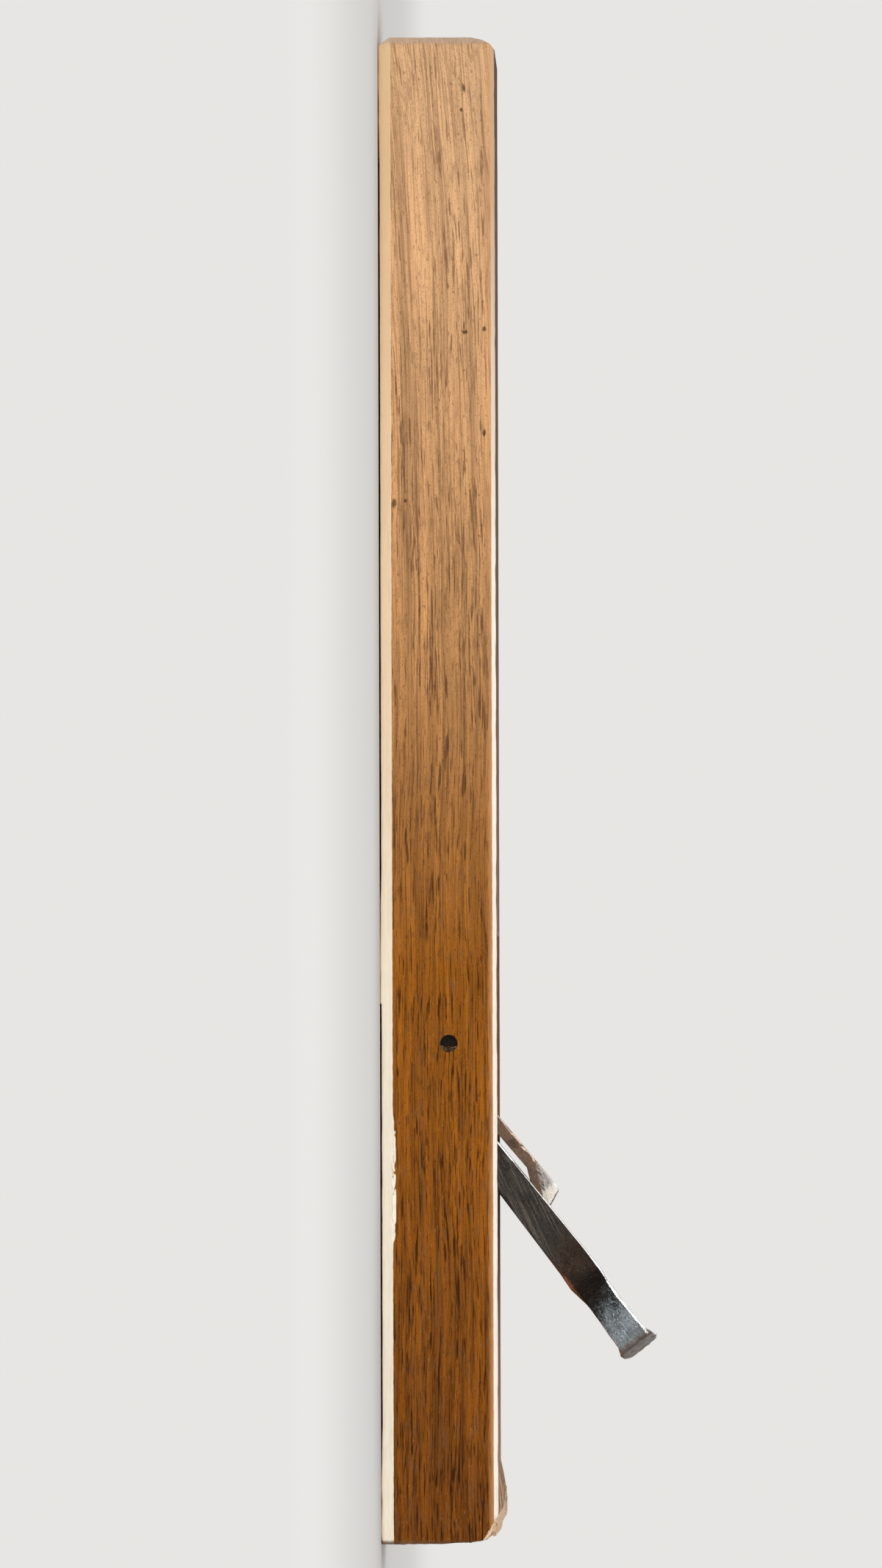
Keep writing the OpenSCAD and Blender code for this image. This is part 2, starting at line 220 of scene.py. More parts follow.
class Wires:
    """Adds nodes to one node tree and joins their sockets."""

    def __init__(self, tree: Tree) -> None:
        """Keep the tree that the nodes go into."""
        self.tree = tree

    def feed(self, socket: Socket, value: object) -> None:
        """Join a socket to an input, or set the input to a number or a colour."""
        if isinstance(value, bpy.types.NodeSocket):
            self.tree.links.new(value, socket)
        elif isinstance(value, tuple) and len(value) == 3 and socket.type == "RGBA":
            socket.default_value = (*value, 1.0)
        else:
            socket.default_value = value

    def node(self, kind: str, inputs: dict, **settings: object) -> bpy.types.Node:
        """Add a node, with its settings and its inputs.

        Args:
            kind: Blender's name for the kind of node, without what all kinds start with.
            inputs: Input names or numbers, each with a value or a socket.
            settings: Properties of the node.

        Returns:
            The new node.
        """
        made = self.tree.nodes.new(f"ShaderNode{kind}")
        for name, value in settings.items():
            setattr(made, name, value)
        for key, value in inputs.items():
            self.feed(made.inputs[key], value)
        return made

    def sums(self, operation: str, *values: Number) -> Socket:
        """Work out one sum of up to three numbers."""
        return self.node("Math", dict(enumerate(values)), operation=operation).outputs[0]

    def add(self, first: Number, second: Number) -> Socket:
        """Add two numbers."""
        return self.sums("ADD", first, second)

    def times(self, first: Number, second: Number) -> Socket:
        """Multiply two numbers."""
        return self.sums("MULTIPLY", first, second)

    def less(self, first: Number, second: Number) -> Socket:
        """Take the second number from the first."""
        return self.sums("SUBTRACT", first, second)

    def unsigned(self, value: Number) -> Socket:
        """Drop a number's sign."""
        return self.sums("ABSOLUTE", value)

    def total(self, *parts: tuple[Number, float]) -> Socket:
        """Add up values, each times its own number."""
        found = 0.0
        for value, share in parts:
            found = self.sums("MULTIPLY_ADD", value, share, found)
        return found

    def most(self, *values: Number) -> Socket:
        """Give the largest of the values."""
        found = values[0]
        for value in values[1:]:
            found = self.sums("MAXIMUM", found, value)
        return found

    def rise(self, value: Number, low: float, high: float) -> Socket:
        """Rise smoothly from 0 where the value is low to 1 where it is high."""
        inputs = {"Value": value, "From Min": low, "From Max": high}
        return self.node("MapRange", inputs, interpolation_type="SMOOTHSTEP").outputs[0]

    def fall(self, value: Number, low: float, high: float) -> Socket:
        """Fall smoothly from 1 where the value is low to 0 where it is high."""
        return self.less(1.0, self.rise(value, low, high))

    def band(self, value: Number, low: float, high: float, soft: float) -> Socket:
        """Give 1 between low and high, with soft ends outside them."""
        return self.times(self.rise(value, low - soft, low), self.fall(value, high, high + soft))

    def spread(self, value: Number, low: float, high: float) -> Socket:
        """Turn 0 to 1 into low to high."""
        return self.sums("MULTIPLY_ADD", value, high - low, low)

    def reach(self, first: Number, second: Number) -> Socket:
        """Give the length of the slope with the two given sides."""
        inputs = {0: self.point(first, second, 0.0)}
        return self.node("VectorMath", inputs, operation="LENGTH").outputs["Value"]

    def lay(self, amount: Number, under: Shade, over: Shade, mode: Blend = Blend.OVER) -> Socket:
        """Lay one colour over another.

        Args:
            amount: How much of the upper colour shows, 0 to 1.
            under: The lower colour.
            over: The upper colour.
            mode: How the two are laid together.

        Returns:
            The laid colour's socket.
        """
        inputs = {0: amount, 6: under, 7: over}
        return self.node("Mix", inputs, data_type="RGBA", blend_type=mode.value).outputs[2]

    def stain(self, colour: Shade, shade: Shade, mask: Number, amount: Number) -> Socket:
        """Lay a shade over a colour where the mask says, as strongly as the amount says."""
        return self.lay(self.times(mask, amount), colour, shade)

    def tone(self, colour: Shade, value: Number, shades: Span, amount: Number) -> Socket:
        """Darken and lighten a colour by a pattern.

        Args:
            colour: The colour.
            value: The pattern, 0 to 1.
            shades: What the colour is multiplied by at 0 and at 1.
            amount: How much of the shading shows.

        Returns:
            The shaded colour's socket.
        """
        grey = self.spread(value, *shades)
        return self.lay(amount, colour, self.point(grey, grey, grey), Blend.DARKEN)

    def coat(
        self, colour: Shade, layers: Layers, masks: dict[str, Socket], share: Number = 0.0
    ) -> Socket:
        """Lay a finish's layers over a colour, one after another.

        Args:
            colour: The lowest colour.
            layers: The layers.
            masks: The patterns, by name.
            share: How far along the piece a place lies, 0 to 1.

        Returns:
            The finished colour's socket.
        """
        for layer in layers:
            mask, amount = masks[layer.pattern], layer.amount
            if isinstance(amount, tuple):
                amount = self.spread(share, *amount)
            if isinstance(layer, Tone):
                colour = self.tone(colour, mask, layer.shades, amount)
                continue
            along = isinstance(layer.colour[0], tuple)
            shade = self.ramp(share, layer.colour) if along else layer.colour
            mask = self.rise(mask, *layer.edge) if layer.edge else mask
            colour = self.stain(colour, shade, mask, amount)
        return colour

    def ramp(self, value: Number, stops: Stops) -> Socket:
        """Run through several colours, each at its own place between 0 and 1."""
        made = self.node("ValToRGB", {0: value})
        elements = made.color_ramp.elements
        while len(elements) < len(stops):
            elements.new(1.0)
        for element, (place, colour) in zip(elements, stops):
            element.position = place
            element.color = (*colour, 1.0)
        return made.outputs[0]

    def stretch(self, place: Socket, size: Size) -> Socket:
        """Scale a place in millimetres so that a pattern's grains get the given sizes."""
        inputs = {0: place, 1: tuple(1.0 / part for part in size)}
        return self.node("VectorMath", inputs, operation="MULTIPLY").outputs[0]

    def turn(self, place: Socket, angles: Size) -> Socket:
        """Turn a position about the origin, by an angle about each axis."""
        return self.node("Mapping", {0: place, 2: angles}).outputs[0]

    def grain(self, place: Socket, kind: Grain) -> Socket:
        """Give noise from 0 to 1.

        Args:
            place: Position in millimetres.
            kind: The noise's sizes and how it shows.

        Returns:
            The noise's socket.
        """
        inputs = {"Vector": self.stretch(place, kind.size), "Scale": 1.0}
        inputs.update({"Detail": kind.detail, "Distortion": kind.twist})
        made = self.node("TexNoise", inputs).outputs[0]
        return self.rise(made, *kind.shows) if kind.shows else made

    def cells(self, place: Socket, size: Size) -> Socket:
        """Give the distance to the nearest of scattered points, for dents and tool cuts."""
        inputs = {"Vector": self.stretch(place, size), "Scale": 1.0, "Smoothness": 0.4}
        return self.node("TexVoronoi", inputs, feature="SMOOTH_F1").outputs[0]

    def axes(self, place: Socket) -> tuple[Socket, ...]:
        """Split a position into its three numbers."""
        return tuple(self.node("SeparateXYZ", {0: place}).outputs)

    def point(self, first: Number, second: Number, third: Number) -> Socket:
        """Join three numbers into a position or a colour."""
        return self.node("CombineXYZ", {0: first, 1: second, 2: third}).outputs[0]

    def group(self, tree: Tree, **inputs: object) -> dict[str, Socket]:
        """Place a shared group, with underscores for the spaces in its inputs' names.

        Args:
            tree: The group's tree.
            inputs: A value or a socket for each input.

        Returns:
            The group's outputs, by name.
        """
        made = self.node("Group", {}, node_tree=tree)
        for name, value in inputs.items():
            self.feed(made.inputs[name.replace("_", " ")], value)
        return dict(made.outputs.items())

    def bump(self, height: Number) -> Socket:
        """Turn a height in millimetres into a surface normal."""
        return self.node("Bump", {"Strength": 1.0, "Distance": MM, "Height": height}).outputs[0]


class Effect:
    """A shared shader group with named inputs and outputs."""

    def __init__(self, name: str, inputs: dict[str, float | None], outputs: Iterable[str]) -> None:
        """Make the empty group.

        Args:
            name: The group's name.
            inputs: Input names, each with its usual number, or None for a position.
            outputs: Names of the numbers that it puts out.
        """
        self.tree = bpy.data.node_groups.new(name, "ShaderNodeTree")
        sockets = self.tree.interface
        for label, usual in inputs.items():
            kind = "NodeSocketVector" if usual is None else "NodeSocketFloat"
            socket = sockets.new_socket(name=label, in_out="INPUT", socket_type=kind)
            if usual is not None:
                socket.default_value = usual
        for label in outputs:
            sockets.new_socket(name=label, in_out="OUTPUT", socket_type="NodeSocketFloat")
        self.wires = Wires(self.tree)
        self.given = self.tree.nodes.new("NodeGroupInput").outputs
        self.result = self.tree.nodes.new("NodeGroupOutput").inputs

    def give(self, **outputs: Socket) -> Tree:
        """Join the group's outputs and return its tree."""
        for name, socket in outputs.items():
            self.tree.links.new(socket, self.result[name])
        return self.tree


@dataclass(frozen=True)
class OakFigure:
    """The oak's own pattern: rays, fibres, growth bands and pores, in the wood's solid."""

    slant_end: float = -60.0
    slant: float = 0.000316
    sway: Grain = Grain((70.0, 30.0, 22.0), 1.0)
    sway_up: Span = (-2.2, 2.2)
    sway_across: Span = (1.5, -1.5)
    beside_x: float = 31.0
    beside_z: float = 17.0
    crowd: Grain = Grain((30.0, 12.0, 5.0), 1.0)
    crowding: Span = (-0.11, 0.11)
    ray: Grain = Grain((11.0, 1.6, 0.56), 0.9, 0.12)
    ray_edge: Span = (0.0, 0.045)
    uneven: Grain = Grain((4.0, 3.0, 0.9), 1.0, 0.0, (0.32, 0.60))
    faintest: float = 0.45
    fine_ray: Grain = Grain((5.5, 1.1, 0.34), 1.2, 0.15)
    fine_edge: Span = (0.0, 0.10)
    fine_amount: float = 0.6
    line: Grain = Grain((26.0, 1.3, 0.42), 2.0, 0.3, (0.50, 0.66))
    blot: Grain = Grain((5.5, 6.0, 1.5), 3.0, 0.4)
    blot_edge: Span = (-0.10, 0.12)
    fibre: Grain = Grain((13.0, 0.30, 0.15), 4.0)
    streak: Grain = Grain((55.0, 9.0, 1.5), 3.0, 0.0, (0.30, 0.70))
    pore: Grain = Grain((0.55, 0.30, 0.20), 2.0, 0.0, (0.40, 0.75))
    wisp: Grain = Grain((2.0, 3.0, 0.24), 1.5, 0.8, (0.66, 0.76))
    pith_y: float = -35.0
    pith_z: float = 150.0
    ring: Grain = Grain((1.7, 1.0, 1.0))
    ring_drift: float = 0.004
    mottle: Grain = Grain((34.0, 16.0, 9.0), 3.0)
    ray_height: float = -0.05
    pore_height: float = -0.02
    fibre_height: float = 0.06

    def build(self) -> Tree:
        """Make the shared group.

        Returns:
            The group's tree.
        """
        effect = Effect(
            "oak_figure",
            {"Place": None, "Ray Cover": 0.62},
            (
                "Rays", "Lines", "Blots", "Fibres", "Pores",
                "Streaks", "Wisps", "Bands", "Mottle", "Height",
            ),
        )
        wires, place, cover = effect.wires, effect.given["Place"], effect.given["Ray Cover"]
        x, y, z = wires.axes(place)
        lean = wires.most(wires.less(self.slant_end, x), 0.0)
        sway = wires.grain(place, self.sway)
        level = wires.add(z, wires.times(wires.times(lean, lean), self.slant))
        level = wires.add(level, wires.spread(sway, *self.sway_up))
        across = wires.add(y, wires.spread(sway, *self.sway_across))
        along = wires.point(x, across, level)
        beside = wires.point(wires.add(x, self.beside_x), across, wires.add(level, self.beside_z))

        crowd = wires.spread(wires.grain(along, self.crowd), *self.crowding)
        ray = wires.less(wires.add(wires.grain(along, self.ray), crowd), cover)
        amount = wires.spread(wires.grain(beside, self.uneven), self.faintest, 1.0)
        rays = wires.times(wires.rise(ray, *self.ray_edge), amount)
        fine = wires.less(wires.add(wires.grain(beside, self.fine_ray), crowd), cover)
        rays = wires.most(rays, wires.times(wires.rise(fine, *self.fine_edge), self.fine_amount))
        blots = wires.rise(wires.less(wires.grain(along, self.blot), cover), *self.blot_edge)
        fibres = wires.grain(along, self.fibre)
        pores = wires.grain(along, self.pore)
        radius = wires.reach(wires.less(across, self.pith_y), wires.less(level, self.pith_z))
        ring = wires.point(radius, wires.times(x, self.ring_drift), 0.0)
        height = wires.total(
            (rays, self.ray_height), (pores, self.pore_height), (fibres, self.fibre_height)
        )
        return effect.give(
            Rays=rays,
            Lines=wires.grain(beside, self.line),
            Blots=blots,
            Fibres=fibres,
            Pores=pores,
            Streaks=wires.grain(along, self.streak),
            Wisps=wires.grain(beside, self.wisp),
            Bands=wires.grain(ring, self.ring),
            Mottle=wires.grain(place, self.mottle),
            Height=height,
        )


@dataclass(frozen=True)
class IronSkin:
    """What old forged metal carries: patina clouds, pits, specks and fine scratches."""

    cloud: Grain = Grain((6.0, 7.0, 4.0), 5.0, 0.4)
    pit: Grain = Grain((0.42, 0.5, 0.34), 3.0, 0.8, (0.60, 0.70))
    pitted: Grain = Grain((3.4, 4.0, 3.0), 3.0, 0.0, (0.40, 0.62))
    speck: Grain = Grain((0.40, 0.45, 0.32), 3.0, 0.4)
    scratch: Grain = Grain((0.07, 1.9, 2.4), 1.0, 0.0, (0.68, 0.76))
    scratch_turn: Size = (0.3, 0.62, 0.9)
    crossing: Grain = Grain((0.07, 1.9, 2.4), 1.0, 0.0, (0.69, 0.76))
    crossing_turn: Size = (1.1, -0.45, 0.2)
    pit_height: float = -0.09
    speck_height: float = 0.035
    cloud_height: float = 0.10
    scratch_height: float = -0.03

    def build(self) -> Tree:
        """Make the shared group.

        Returns:
            The group's tree.
        """
        effect = Effect(
            "iron_skin",
            {"Place": None, "Pitting": 0.5},
            ("Clouds", "Pits", "Specks", "Scratches", "Height"),
        )
        wires, place = effect.wires, effect.given["Place"]
        clouds = wires.grain(place, self.cloud)
        pits = wires.times(wires.grain(place, self.pit), wires.grain(place, self.pitted))
        pits = wires.times(pits, effect.given["Pitting"])
        specks = wires.grain(place, self.speck)
        scratches = wires.most(
            wires.grain(wires.turn(place, self.scratch_turn), self.scratch),
            wires.grain(wires.turn(place, self.crossing_turn), self.crossing),
        )
        height = wires.total(
            (pits, self.pit_height),
            (specks, self.speck_height),
            (clouds, self.cloud_height),
            (scratches, self.scratch_height),
        )
        return effect.give(Clouds=clouds, Pits=pits, Specks=specks, Scratches=scratches, Height=height)


@dataclass(frozen=True)
class FileMarks:
    """Parallel strokes of a coarse file across a blade's side."""

    angle: float = math.radians(13.0)
    wide: Grain = Grain((22.0, 40.0, 0.36), 1.0)
    wide_share: float = 0.7
    narrow: Grain = Grain((7.0, 30.0, 0.144))
    narrow_share: float = 0.3
    edge: Span = (0.38, 0.64)
    patch: Grain = Grain((9.0, 9.0, 3.0), 3.0, 0.0, (0.34, 0.58))
    faintest: float = 0.25
    height: float = 0.05

    def build(self) -> Tree:
        """Make the shared group, which works in the blade's own plane.

        Returns:
            The group's tree.
        """
        effect = Effect("file_marks", {"Place": None}, ("Strokes", "Height"))
        wires, place = effect.wires, effect.given["Place"]
        turned = wires.turn(place, (0.0, -self.angle, 0.0))
        strokes = wires.total(
            (wires.grain(turned, self.wide), self.wide_share),
            (wires.grain(turned, self.narrow), self.narrow_share),
        )
        strokes = wires.times(wires.rise(strokes, *self.edge), wires.grain(place, self.patch))
        strokes = wires.spread(strokes, self.faintest, 1.0)
        return effect.give(Strokes=strokes, Height=wires.times(strokes, self.height))


class Finish:
    """A material that is being made: its wires, its position in millimetres and its shader."""

    def __init__(self, name: str) -> None:
        """Start an empty material with one Principled shader."""
        self.material = bpy.data.materials.new(name)
        self.material.use_nodes = True
        self.wires = Wires(self.material.node_tree)
        self.shader = self.material.node_tree.nodes["Principled BSDF"].inputs
        coords = self.wires.node("TexCoord", {}).outputs["Object"]
        inputs = {0: coords, "Scale": 1.0 / MM}
        self.place = self.wires.node("VectorMath", inputs, operation="SCALE").outputs[0]

    def turned(self, plate: Plate) -> Socket:
        """Give the position in a sloping plate's own frame."""
        inputs = {0: self.place, 1: plate.shift(), 2: (0.0, plate.angle, 0.0)}
        return self.wires.node("Mapping", inputs).outputs[0]

    def close(
        self,
        colour: Socket,
        roughness: Number,
        height: Number,
        metallic: Number = 0.0,
        specular: float = 0.5,
    ) -> Material:
        """Join the finished colour, gloss and relief to the shader.

        Args:
            colour: The surface colour.
            roughness: The surface's roughness.
            height: The relief, in millimetres.
            metallic: Where the surface is bare metal, 0 to 1.
            specular: Strength of the surface's own reflection.

        Returns:
            The finished material.
        """
        self.wires.feed(self.shader["Base Color"], colour)
        self.wires.feed(self.shader["Roughness"], roughness)
        self.wires.feed(self.shader["Metallic"], metallic)
        self.wires.feed(self.shader["Normal"], self.wires.bump(height))
        self.shader["Specular IOR Level"].default_value = specular
        return self.material


@dataclass(frozen=True)
class Mark:
    """A small dark mark on the near side: where it is, how long and how wide."""

    x: float
    z: float
    length: float
    width: float


class Ground:
    """What every layer of the worn oak reads: the position, the depths and the oak's patterns."""

    def __init__(self, finish: Finish, look: WornOak) -> None:
        """Make the shared sockets.

        Args:
            finish: The material that is being made.
            look: The worn oak's own patterns.
        """
        wires, place = finish.wires, finish.place
        self.wires, self.place = wires, place
        self.x, self.y, self.z = wires.axes(place)
        self.share = wires.sums("MULTIPLY_ADD", self.x, 0.5 / HALF_L, 0.5)
        cover = wires.spread(self.share, *look.ray_cover)
        self.oak = wires.group(look.figure, Place=place, Ray_Cover=cover)
        self.in_side = wires.less(HALF_W, wires.unsigned(self.y))
        self.ragged = wires.grain(place, look.ragged)
        self.coarse = wires.grain(place, look.coarse)

    def coat(self, colour: Shade, layers: Layers, **masks: Socket) -> Socket:
        """Lay layers over a colour, by the oak's patterns and by any other masks."""
        return self.wires.coat(colour, layers, {**self.oak, **masks}, self.share)

    def jagged(self, value: Number, reach: float) -> Socket:
        """Move a value to and fro by up to the reach, so that what ends at it ends raggedly."""
        return self.wires.add(value, self.wires.spread(self.ragged, -reach, reach))


@dataclass(frozen=True)
class WornOak:
    """The body's outside: oak that turns darker towards the struck end, a top painted darker as shade,
    pale chamfers brightened with painted light, and bruised ends.

    A pair of amounts holds for the leading end and for the struck end.
    """

    figure: Tree
    ray_cover: Span = (0.632, 0.582)
    ragged: Grain = Grain((2.4, 0.6, 0.5), 3.0)
    coarse: Grain = Grain((9.0, 3.0, 3.0))
    speck: Grain = Grain((1.5, 0.8, 0.7), 2.0, 0.0, (0.64, 0.70))
    end_grain: Grain = Grain((6.0, 0.30, 0.30))
    strand: Grain = Grain((5.0, 0.34, 0.26), 3.0, 0.3)
    plane_track: Grain = Grain((60.0, 0.8, 0.8), 1.0)
    ray_dark: Colour = paint(46, 24, 9)
    ray: Stops = ((0.1, paint(122, 84, 60)), (0.62, ray_dark))
    blot: Colour = paint(108, 78, 54)
    soot: Colour = paint(46, 30, 20)
    torn: Colour = paint(232, 204, 174)
    torn_shade: Colour = paint(184, 144, 106)

    # The side: paler at the leading end, darker towards the struck end
    side: Stops = (
        (0.0, paint(214, 171, 128)),
        (0.16, paint(214, 167, 121)),
        (0.40, paint(190, 139, 89)),
        (0.52, paint(162, 108, 55)),
        (0.62, paint(151, 89, 21)),
        (1.0, paint(120, 66, 12)),
    )
    side_layers: Layers = (
        Tone("Mottle", (0.82, 1.18), 0.7),
        Tone("Bands", (0.76, 1.24), 0.7),
        Tone("Streaks", (0.78, 1.20), (0.45, 1.1)),
        Tone("Fibres", (0.66, 1.34), (0.6, 1.0)),
        Tone("Pores", (1.14, 0.80), 0.9),
        Stain("Bands", blot, 0.30, (0.46, 0.30)),
        Stain("Lines", ray, (0.44, 0.50)),
        Stain("specks", ray, (0.50, 0.35)),
        Stain("Wisps", paint(228, 182, 132), 0.20),
        Stain("Blots", blot, 0.34),
        Stain("Rays", ray, (0.66, 0.92)),
        Stain("rubbed", paint(214, 156, 104)),
        Stain("marks", soot, 0.78),
    )
    rubbed_z: Span = (29.8, 31.9)
    rubbed_in: Span = (0.3, 0.8)
    rubbed_amount: Span = (0.35, 0.95)
    marks: tuple[Mark, ...] = (
        Mark(-197.4, 24.3, 2.2, 0.9),
        Mark(-191.4, 23.6, 1.0, 0.7),
        Mark(-130.5, 24.2, 2.6, 0.35),
        Mark(-128.8, 24.4, 1.0, 1.6),
        Mark(-129.7, 29.9, 1.5, 0.9),
        Mark(-100.3, 29.8, 1.8, 0.8),
        Mark(-80.6, 4.4, 2.4, 1.3),
        Mark(-81.3, 7.6, 1.0, 0.8),
        Mark(196.8, 5.4, 2.6, 0.3),
        Mark(203.9, 28.5, 12.5, 0.32),
        Mark(204.5, 27.7, 2.6, 0.25),
    )
    mark_jag: float = 1.1
    mark_edge: Span = (0.45, 1.35)
    mark_skin: Span = (0.5, 1.2)

    # The top face: coloured darker than the side, as painted shade
    # Painted shade: these top colours are darker than the side's
    top: Stops = ((0.3, paint(92, 66, 44)), (0.75, paint(158, 122, 88)))
    top_layers: Layers = (
        Stain("Mottle", blot, 0.35, (0.42, 0.60)),
        Stain("Rays", ray_dark, 0.4),
        Tone("Bands", (0.76, 1.24), 0.8),
        Tone("Fibres", (0.66, 1.34), 0.9),
        Stain("bleached", torn),
        Stain("Lines", ray_dark, 0.4),
    )
    top_jag: float = 0.1
    top_from: Span = (TOP_Z - 0.35, TOP_Z - 0.1)
    bleached_x: Span = (175.0, 209.0)
    bleached: Span = (0.42, 0.70)

    # The chamfers, the sole and the band along the top; the sole chamfer's pale colours carry painted
    # light
    # Pale planed wood, brightened towards white and towards the struck end as painted light
    fresh_cut_and_painted_light: Stops = (
        (0.1, paint(240, 208, 168)),
        (0.45, paint(252, 232, 204)),
        (0.65, paint(255, 247, 230)),
    )
    fresh_line: Colour = paint(226, 196, 158)
    fresh_layers: Layers = (
        Stain("Fibres", fresh_line, 0.45, (0.52, 0.74)),
        Stain("Rays", fresh_line, 0.14),
    )
    cut_jag: float = 0.12
    chipped_x: Span = (95.0, 124.0)
    chipped_soft: float = 6.0
    chipped: Span = (0.42, 0.62)
    chipped_reach: float = -0.9
    sole_edge: Span = (SOLE_CUT, SOLE_CUT + 0.16)
    sole: Colour = paint(186, 148, 104)
    sole_layers: Layers = (Tone("Fibres", (0.66, 1.34), 0.8), Stain("Rays", ray_dark, 0.22))
    sole_below: Span = (0.62, 0.9)
    sole_in: Span = (3.0, 3.6)
    band: Stops = ((0.1, paint(206, 172, 140)), (0.36, paint(255, 247, 234)))
    band_edge: Span = (TOP_CUT - 0.1, TOP_CUT + 0.2)
    band_end: Span = (203.0, 208.0)
    band_amount: Span = (0.8, 1.0)

    # The two ends and the torn bevel
    end_jag: float = 0.4
    lead_end: Colour = paint(222, 196, 174)
    lead_layers: Layers = (
        Stain("pores", paint(176, 144, 118), 0.7),
        Tone("Bands", (0.62, 1.38), 0.7),
    )
    lead_from: Span = (1.2, 2.4)
    lead_amount: float = 0.75
    struck_end: Colour = paint(104, 70, 44)
    struck_layers: Layers = (
        Stain("pores", soot, 1.0, (0.5, 0.66)),
        Stain("Mottle", torn_shade, 0.18, (0.4, 0.7)),
        Tone("Bands", (0.62, 1.38), 0.9),
    )
    struck_from: Span = (HALF_L - 1.6, HALF_L - 0.5)
    struck_amount: float = 0.9
    torn_edge: Span = (-0.15, 0.15)
    torn_strands: Span = (0.46, 0.62)
    bevel_turn: Size = (0.0, math.radians(-45.0), 0.0)

    # Gloss and relief
    gloss: Span = (0.44, 0.84)
    mottle_gloss: float = 0.14
    strand_height: float = -0.35
    mark_height: float = -0.25
    track_height: float = 0.06
    specular: float = 0.04

    def dark_marks(self, at: Ground) -> Socket:
        """Give the mask of the small dark marks on the near side.

        Args:
            at: The surface's shared sockets.

        Returns:
            The mask.
        """
        wires = at.wires
        dark = 0.0
        for mark in self.marks:
            reach = wires.reach(
                wires.times(wires.less(at.x, mark.x), 2.0 / mark.length),
                wires.times(wires.less(at.z, mark.z), 2.0 / mark.width),
            )
            dark = wires.most(dark, wires.fall(at.jagged(reach, self.mark_jag), *self.mark_edge))
        return wires.times(dark, wires.fall(wires.add(at.y, HALF_W), *self.mark_skin))

    def faces(self, at: Ground, marks: Socket, top: Socket) -> Socket:
        """Lay the side, rubbed along its upper arris, and the top, painted darker as shade and
        bleached by the struck end.

        Args:
            at: The surface's shared sockets.
            marks: The mask of the dark marks.
            top: The mask of the top face.

        Returns:
            The colour.
        """
        wires = at.wires
        rubbed = wires.rise(at.z, *self.rubbed_z)
        rubbed = wires.times(rubbed, wires.fall(at.in_side, *self.rubbed_in))
        rubbed = wires.times(rubbed, wires.spread(at.coarse, *self.rubbed_amount))
        specks = wires.grain(at.place, self.speck)
        side = wires.ramp(at.share, self.side)
        side = at.coat(side, self.side_layers, specks=specks, rubbed=rubbed, marks=marks)
        bleached = wires.rise(at.x, *self.bleached_x)
        bleached = wires.times(bleached, wires.rise(at.coarse, *self.bleached))
        # The top's darker colours are painted shade
        upper = at.coat(wires.ramp(at.share, self.top), self.top_layers, bleached=bleached)
        return wires.lay(top, side, upper)

    def cuts(self, at: Ground, colour: Socket) -> tuple[Socket, Socket, Socket]:
        """Lay the planed chamfers, whose pale colour carries painted light, the sole and the pale band
        along the top.

        Args:
            at: The surface's shared sockets.
            colour: The colour that they are laid over.

        Returns:
            The new colour, the chamfers' mask and the band's mask.
        """
        wires = at.wires
        chipped = wires.band(at.x, *self.chipped_x, self.chipped_soft)
        chipped = wires.times(chipped, wires.rise(at.coarse, *self.chipped))
        edge = at.jagged(wires.most(at.in_side, at.z), self.cut_jag)
        edge = wires.sums("MULTIPLY_ADD", chipped, self.chipped_reach, edge)
        chamfer = wires.fall(edge, *self.sole_edge)
        # Painted light: the chamfer's colour is brightened towards white
        fresh_cut_and_painted_light = at.coat(wires.ramp(at.share, self.fresh_cut_and_painted_light), self.fresh_layers)
        colour = wires.lay(chamfer, colour, fresh_cut_and_painted_light)

        below = wires.fall(at.z, *self.sole_below)
        sole = at.coat(self.sole, self.sole_layers)
        colour = wires.stain(colour, sole, below, wires.rise(at.in_side, *self.sole_in))

        edge = at.jagged(wires.most(at.in_side, wires.less(TOP_Z, at.z)), self.cut_jag)
        band = wires.times(wires.fall(edge, *self.band_edge), wires.fall(at.x, *self.band_end))
        amount = wires.spread(at.coarse, *self.band_amount)
        return wires.stain(colour, wires.ramp(at.share, self.band), band, amount), chamfer, band

    def ends(self, at: Ground, colour: Socket) -> Socket:
        """Lay the end grain of the leading end and of the crushed struck end.

        Args:
            at: The surface's shared sockets.
            colour: The colour that they are laid over.

        Returns:
            The new colour.
        """
        wires = at.wires
        pores = wires.grain(at.place, self.end_grain)
        lead = at.coat(self.lead_end, self.lead_layers, pores=pores)
        struck = at.coat(self.struck_end, self.struck_layers, pores=pores)
        at_lead = wires.fall(at.jagged(wires.add(at.x, HALF_L), self.end_jag), *self.lead_from)
        at_struck = wires.rise(at.jagged(at.x, self.end_jag), *self.struck_from)
        colour = wires.stain(colour, lead, at_lead, self.lead_amount)
        return wires.stain(colour, struck, at_struck, self.struck_amount)

    def torn_mask(self, at: Ground) -> Socket:
        """Give the mask of the torn bevel at the struck end's upper edge."""
        wires = at.wires
        past_bevel = wires.times(wires.less(BEVEL_LINE, wires.add(at.x, at.z)), DIAGONAL)
        reach = wires.sums("MULTIPLY_ADD", wires.less(at.z, TORN_Z), TORN_SLOPE, TORN_REACH)
        edge = at.jagged(wires.less(past_bevel, reach), self.end_jag)
        return wires.fall(edge, *self.torn_edge)

    def build(self) -> Material:
        """Make the material.

        Returns:
            The finished material.
        """
        finish = Finish("oak_worn")
        at = Ground(finish, self)
        wires = finish.wires
        marks = self.dark_marks(at)
        top = wires.rise(at.jagged(at.z, self.top_jag), *self.top_from)
        colour, chamfer, band = self.cuts(at, self.faces(at, marks, top))
        torn = self.torn_mask(at)
        strands = wires.grain(wires.turn(at.place, self.bevel_turn), self.strand)
        shade = wires.lay(wires.rise(strands, *self.torn_strands), self.torn, self.torn_shade)
        colour = wires.lay(torn, self.ends(at, colour), shade)

